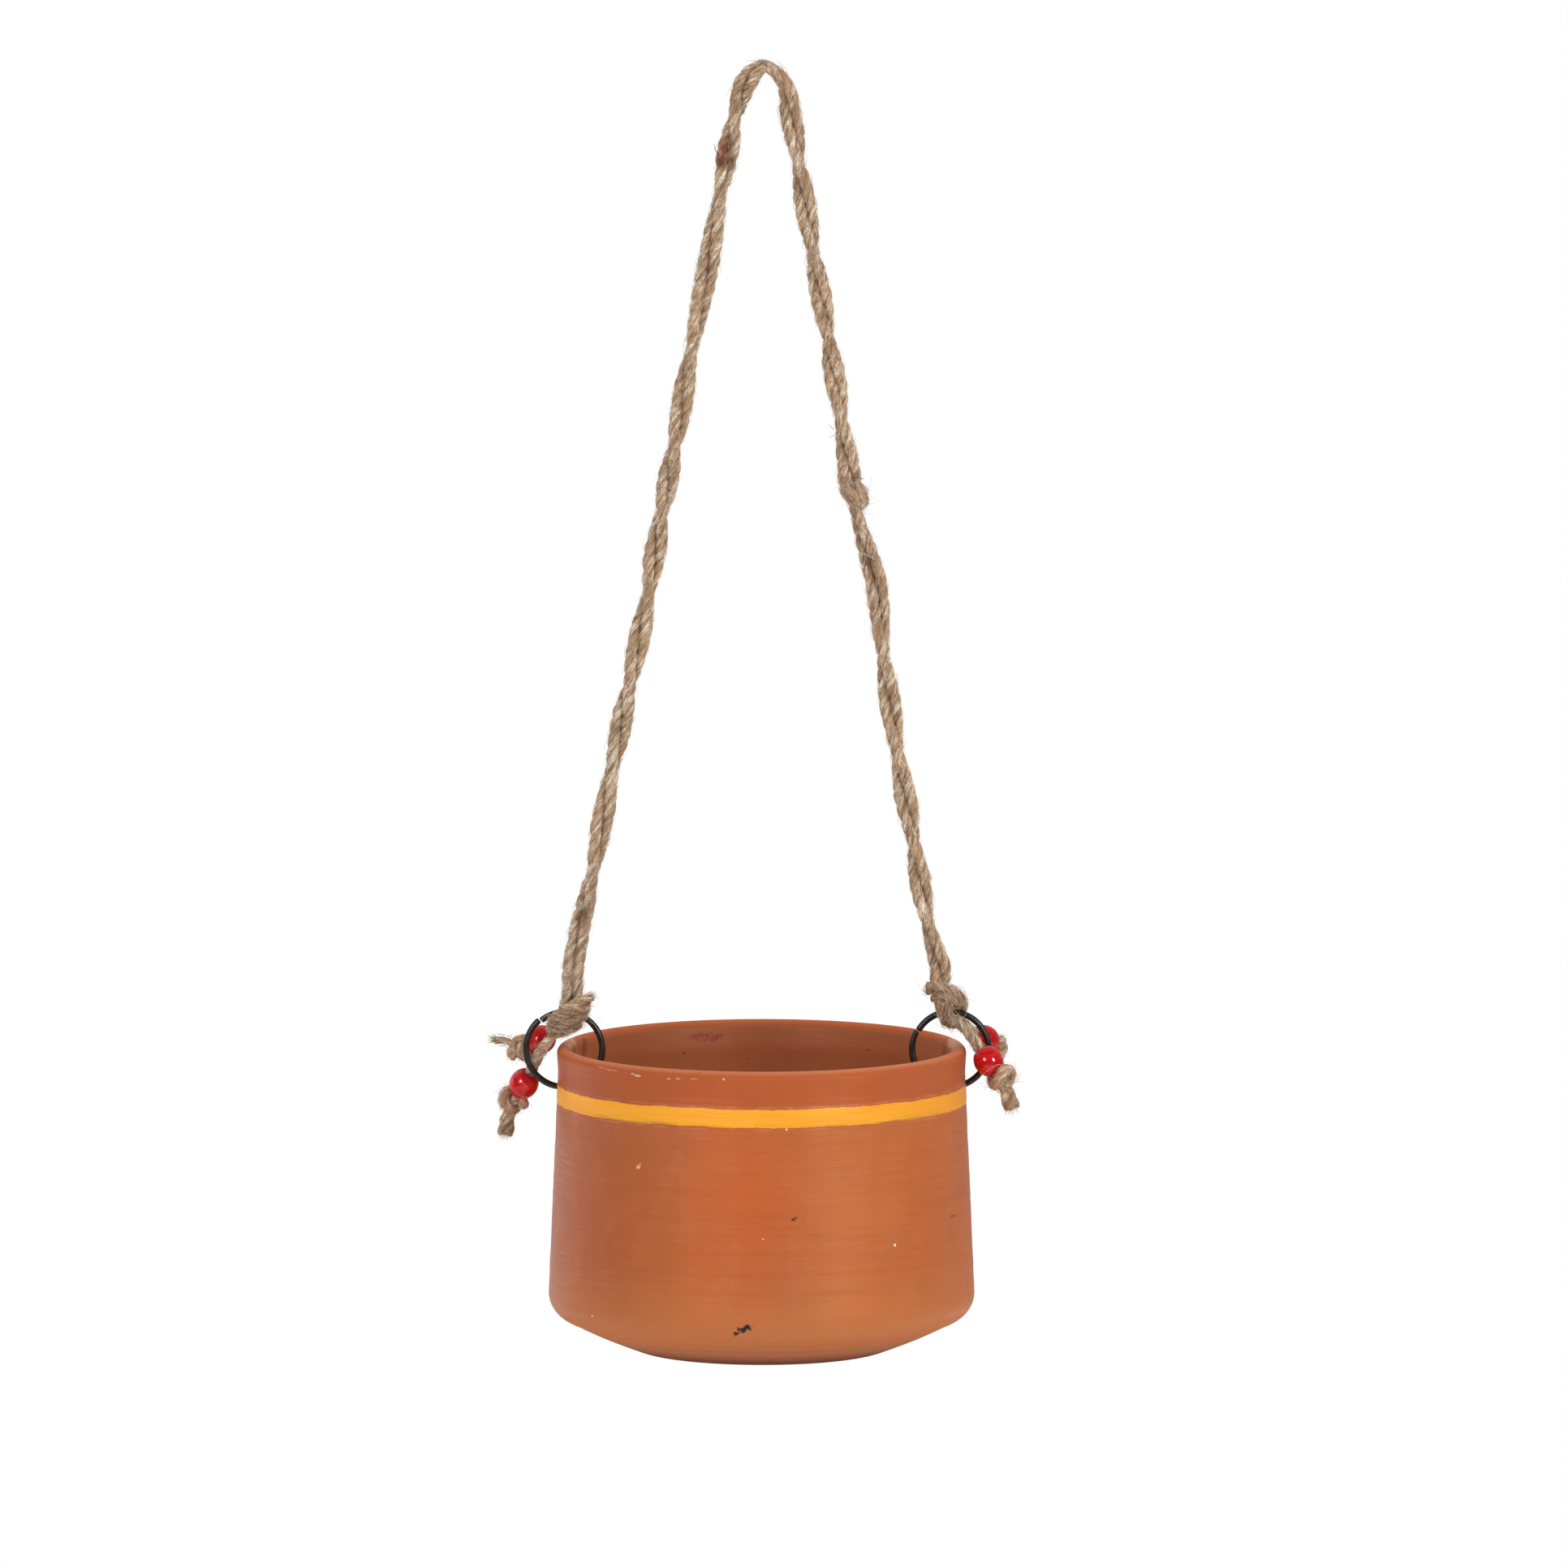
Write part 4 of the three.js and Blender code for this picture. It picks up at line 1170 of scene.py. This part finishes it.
def slip_colour(tree, clay):
    """Red slip rubbed on by hand: clouded, streaked by the wheel and orange in front. It is browner to the
    left, partly as painted shade, and a paler patch right of the middle is a painted sheen.
    """
    colour = tinted(tree, "#c0632b", "#b96233", (clay.clouds, 0.4, 0.6))
    orange = spot(tree, clay.place, clay.slow, (-8, -84, -58), (30, 50, 56), strength=0.6, soft=1.0)
    # A painted sheen: a paler patch right of the middle, where the key soft box would show on the satin clay.
    pale = spot(tree, clay.place, clay.slow, (36, -78, -66), (26, 50, 60), strength=0.6, soft=1.0)
    for tint, part in (
            ("#cb5c20", orange),
            # Browner to the left: the slip's own colour, and painted shade on the side away from the key
            # lamp.
            ("#a85531", (clay.across, -12.0, -70.0, 0.0, 0.48)),
            ("#c67039", pale),
            ("#c97040", (clay.mottle, 0.45, 0.7, 0.0, 0.3)),
            ("#a05125", (clay.rings, 0.42, 0.7, 0.0, 0.2)),
            ("#8e4724", (clay.drags, 0.57, 0.74, 0.0, 0.22)),
            ("#da895e", (clay.drags, 0.24, 0.4, 0.14, 0.0)),
            # Towards the foot it is lighter: painted light, standing in for light from below.
            ("#cc7b43", (clay.height, -84.0, -108.0, 0.0, 0.5))):
        colour = tinted(tree, colour, tint, part)
    # Painted shade down the cone, darkening to a very dark brown at the foot.
    down_cone = combined(tree, "MULTIPLY", (clay.height, -110.0, -125.0))
    cone = add_node(tree, "ShaderNodeValToRGB", {"Fac": down_cone}, stops=CONE_PAINTED_SHADE_COLOURS)
    colour = tinted(tree, colour, cone, (clay.height, -109.0, -113.0, 0.0, 0.85))
    # Above the band it is thickest and reddest.
    return tinted(tree, colour, "#b45022", (clay.height, -16.0, -13.0, 0.0, 0.55))


def lined(tree, clay, colour):
    """The inside, where the slip is thin and brown, with a smudge of red strokes by the rim at the back."""
    lining = tinted(tree, "#a7623c", "#b97049", (clay.across, 10.0, 60.0, 0.0, 0.7))
    colour = tinted(tree, colour, lining, clay.inside, (clay.height, -2.6, -1.2, 0.75, 0.0))
    smudge = spot(tree, clay.place, clay.ragged, (-23, 74, -6.4), (8, 20, 1.9))
    strokes = stretched_noise(tree, clay.place, (2, 2, 0.625), 2.0)
    return tinted(tree, colour, "#86211a", smudge, (strokes, 0.45, 0.58, 0.12, 0.85), clay.inside)


def rubbed_pale_and_lip_highlight(tree, clay, colour):
    """The lip and the two fine lines that guide the band, where the slip has rubbed off, with a painted
    highlight that makes the lip paler in front than behind.
    """
    edge = shifted(tree, clay.height, clay.grain, 1.2)
    # Paler in front than behind: rubbed slip, with a painted highlight along the front of the lip.
    colour = tinted(tree, colour, "#e8a079", (edge, -1.6, -0.4), (clay.back, -40.0, 40.0, 0.34, 0.08))
    for depth in GUIDE_LINES:
        line = between(tree, clay.height, -depth - 0.15, -depth + 0.15, 0.15)
        colour = tinted(tree, colour, "#efae88", line, clay.outside, (clay.mottle, 0.42, 0.62, 0.0, 0.36))
    return colour


def band_paint(tree, clay):
    """The colour of the yellow band and where it lies."""
    edge = shifted(tree, shifted(tree, clay.height, clay.slow, 0.9), clay.fine, 0.35)
    painted = combined(
        tree, "MULTIPLY", between(tree, edge, -BAND_TOP - BAND_HEIGHT, -BAND_TOP, 0.12), clay.outside)
    paint = tinted(tree, "#ffa21f", "#ffb12b", (clay.bristles, 0.35, 0.65))
    paint = tinted(tree, paint, "#f0981a", (clay.across, 35.0, 80.0, 0.0, 0.8))
    # Along its lower edge the clay shows through in streaks, mostly in two places.
    streaked = combined(
        tree, "ADD", between(tree, clay.across, -66, -38, 5.0), between(tree, clay.across, 46, 68, 5.0))
    paint = tinted(
        tree, paint, "#c28a20", (clay.bristles, 0.42, 0.56, 1.0, 0.0), (edge, -22.2, -20.6, 1.0, 0.0),
        (streaked, 0.0, 1.0, 0.15, 0.85))
    return paint, painted


def marked(tree, clay, colour):
    """Chips, splashes and scuffs."""
    for middle, size, mark_colour, strength in MARKS:
        parts = [spot(tree, clay.place, clay.ragged, middle, size, strength)]
        if middle[2] < LIP_MARK_DEPTH:
            parts.append(clay.outside if middle[1] < 0 else clay.inside)
        colour = tinted(tree, colour, mark_colour, *parts)
    return colour


def terracotta():
    """Earthenware thrown on a wheel, rubbed with red slip and fired: satin, with fine wheel rings and short
    dark drag marks, rubbed pale on the lip, which also carries a painted highlight in front. Light and shade
    are painted on the wall and down the cone as well. Under the rim runs a band of yellow paint laid on with
    a brush while the pot turned, so its edges wander and it thins in streaks."""
    material, tree, shader = start_finish("terracotta_slipped")
    clay = Clay(tree)
    colour = slip_colour(tree, clay)
    colour = lined(tree, clay, colour)
    colour = rubbed_pale_and_lip_highlight(tree, clay, colour)
    paint, painted = band_paint(tree, clay)
    colour = tinted(tree, colour, paint, painted)
    colour = marked(tree, clay, colour)
    # Satin where it was burnished, dry on the cone under the shoulder and where the lip is worn.
    rough = combined(
        tree, "ADD", (clay.drags, 0.3, 0.7, 0.36, 0.48), (clay.height, -106.0, -114.0, 0.0, 0.5),
        (clay.height, -3.6, -1.6, 0.0, 0.45))
    raised = combined(tree, "ADD", clay.drags, clay.grain, painted)
    bump = add_node(tree, "ShaderNodeBump", {"Height": raised, "Strength": 0.3, "Distance": 0.2 * MM})
    feed(tree, shader, {"Base Color": colour, "Roughness": rough, "Normal": bump, "Specular IOR Level": 0.35})
    return material


# ---- World and lamps --------------------------------------------------------------------------------------

# The studio is in metres. Its lamps and soft boxes stand in two directions from the pot.
POT_MIDDLE = Vector((0, 0, -0.44))
FLOOR_LEVEL = -1.25
FLOOR_RADIUS = 2.8
FLOOR_FADE = (0.7, 2.52)         # from floor to white between these distances from the middle
KEY_WAY = (0.62, -0.70, 0.36)
FILL_WAY = (-0.50, -0.80, 0.3)
SOFT_BOX_EDGE = (11.0, 9.5)      # degrees from a soft box's middle to its outside, and to its full brightness
# How bright each part of the studio is.
GLOWS = {
    "front": 0.12, "back right": 0.3, "back left": 0.9, "fill box": 11.0, "key box": 13.0, "even light": 0.85,
    "white": 1.0,
}


def light_world():
    """White to the camera. Soft even light on everything else, and in reflections a white wall behind the
    planter with a dim room in front of it and the two soft boxes that the lamps stand for."""
    world = bpy.data.worlds.new("studio")
    bpy.context.scene.world = world
    world.use_nodes = True
    tree = world.node_tree
    tree.nodes.clear()
    glow = {
        name: add_node(tree, "ShaderNodeBackground", {"Color": "#ffffff", "Strength": strength})
        for name, strength in GLOWS.items()
    }
    direction = add_node(tree, "ShaderNodeTexCoord").outputs["Generated"]
    apart = add_node(tree, "ShaderNodeSeparateXYZ", {0: direction})
    leftward = combined(tree, "MULTIPLY", (apart.outputs["X"], 0.5, -0.5))
    behind = combined(tree, "MULTIPLY", (apart.outputs["Y"], -0.1, 0.5))
    wall = add_node(tree, "ShaderNodeMixShader", {0: leftward, 1: glow["back right"], 2: glow["back left"]})
    room = add_node(tree, "ShaderNodeMixShader", {0: behind, 1: glow["front"], 2: wall})
    outside, inside = (math.cos(math.radians(degrees)) for degrees in SOFT_BOX_EDGE)
    for aim, box in ((FILL_WAY, "fill box"), (KEY_WAY, "key box")):
        middle = Vector(aim).normalized()
        toward = add_node(tree, "ShaderNodeVectorMath", {0: direction, 1: middle}, operation="DOT_PRODUCT")
        facing = combined(tree, "MULTIPLY", (toward, outside, inside))
        room = add_node(tree, "ShaderNodeMixShader", {0: facing, 1: room, 2: glow[box]})
    rays = add_node(tree, "ShaderNodeLightPath").outputs
    seen = add_node(tree, "ShaderNodeMixShader", {0: rays["Is Glossy Ray"], 1: glow["even light"], 2: room})
    for ray in ("Is Transmission Ray", "Is Camera Ray"):
        seen = add_node(tree, "ShaderNodeMixShader", {0: rays[ray], 1: seen, 2: glow["white"]})
    add_node(tree, "ShaderNodeOutputWorld", {"Surface": seen})


def add_lamp(name, direction, distance, size, power):
    """A round soft lamp turned towards the pot."""
    data = bpy.data.lights.new(name, "AREA")
    data.shape = "DISK"
    data.size = size
    data.energy = power
    look_from(name, data, POT_MIDDLE + distance * Vector(direction).normalized(), POT_MIDDLE)


def floor_paint():
    """Matt off-white paint, which to the camera fades into the white round the floor."""
    material, tree, shader = start_finish("painted_floor")
    feed(tree, shader, {"Base Color": "#f3f2f0", "Roughness": 0.7})
    place = add_node(tree, "ShaderNodeTexCoord").outputs["Object"]
    level = add_node(tree, "ShaderNodeVectorMath", {0: place, 1: (1, 1, 0)}, operation="MULTIPLY")
    reach = add_node(tree, "ShaderNodeVectorMath", {0: level}, operation="LENGTH")
    to_camera = add_node(tree, "ShaderNodeLightPath").outputs["Is Camera Ray"]
    faded = combined(tree, "MULTIPLY", (reach, *FLOOR_FADE), to_camera)
    white = add_node(tree, "ShaderNodeEmission", {"Color": "#ffffff", "Strength": 1.0})
    both = add_node(tree, "ShaderNodeMixShader", {0: faded, 1: shader, 2: white})
    feed(tree, tree.nodes["Material Output"], {"Surface": both})
    return material


def add_floor():
    """A round painted floor under the hanging planter."""
    sides = 96
    angle = 2 * np.pi * np.arange(sides) / sides
    circle = FLOOR_RADIUS * np.stack([np.cos(angle), np.sin(angle)], axis=1)
    rim = np.column_stack([circle, np.full(sides, FLOOR_LEVEL)])
    mesh = bpy.data.meshes.new("floor")
    mesh.from_pydata(rim.tolist(), [], [tuple(range(sides))])
    mesh.materials.append(floor_paint())
    floor = bpy.data.objects.new("floor", mesh)
    bpy.context.scene.collection.objects.link(floor)


bpy.context.scene.view_settings.view_transform = "Standard"
light_world()
add_lamp("key_lamp", KEY_WAY, distance=1.6, size=0.4, power=4.6)
add_lamp("fill_lamp", FILL_WAY, distance=1.8, size=0.4, power=1.2)
add_floor()

jute_finish = jute()
fibre_finish = loose_jute()
wire_finish = enamelled_wire()
glass_finish = red_glass()
make_handle(jute_finish, fibre_finish)
for side in RINGS:
    make_hitch(side, jute_finish, fibre_finish)
for tail_name in TAILS:
    make_tail(tail_name, jute_finish, fibre_finish)
    make_bead(tail_name, glass_finish)
make_join_knot(jute_finish, fibre_finish)
make_ring("left", gap_degrees=130, finish=wire_finish)
make_ring("right", gap_degrees=150, finish=wire_finish)
make_pot(terracotta())
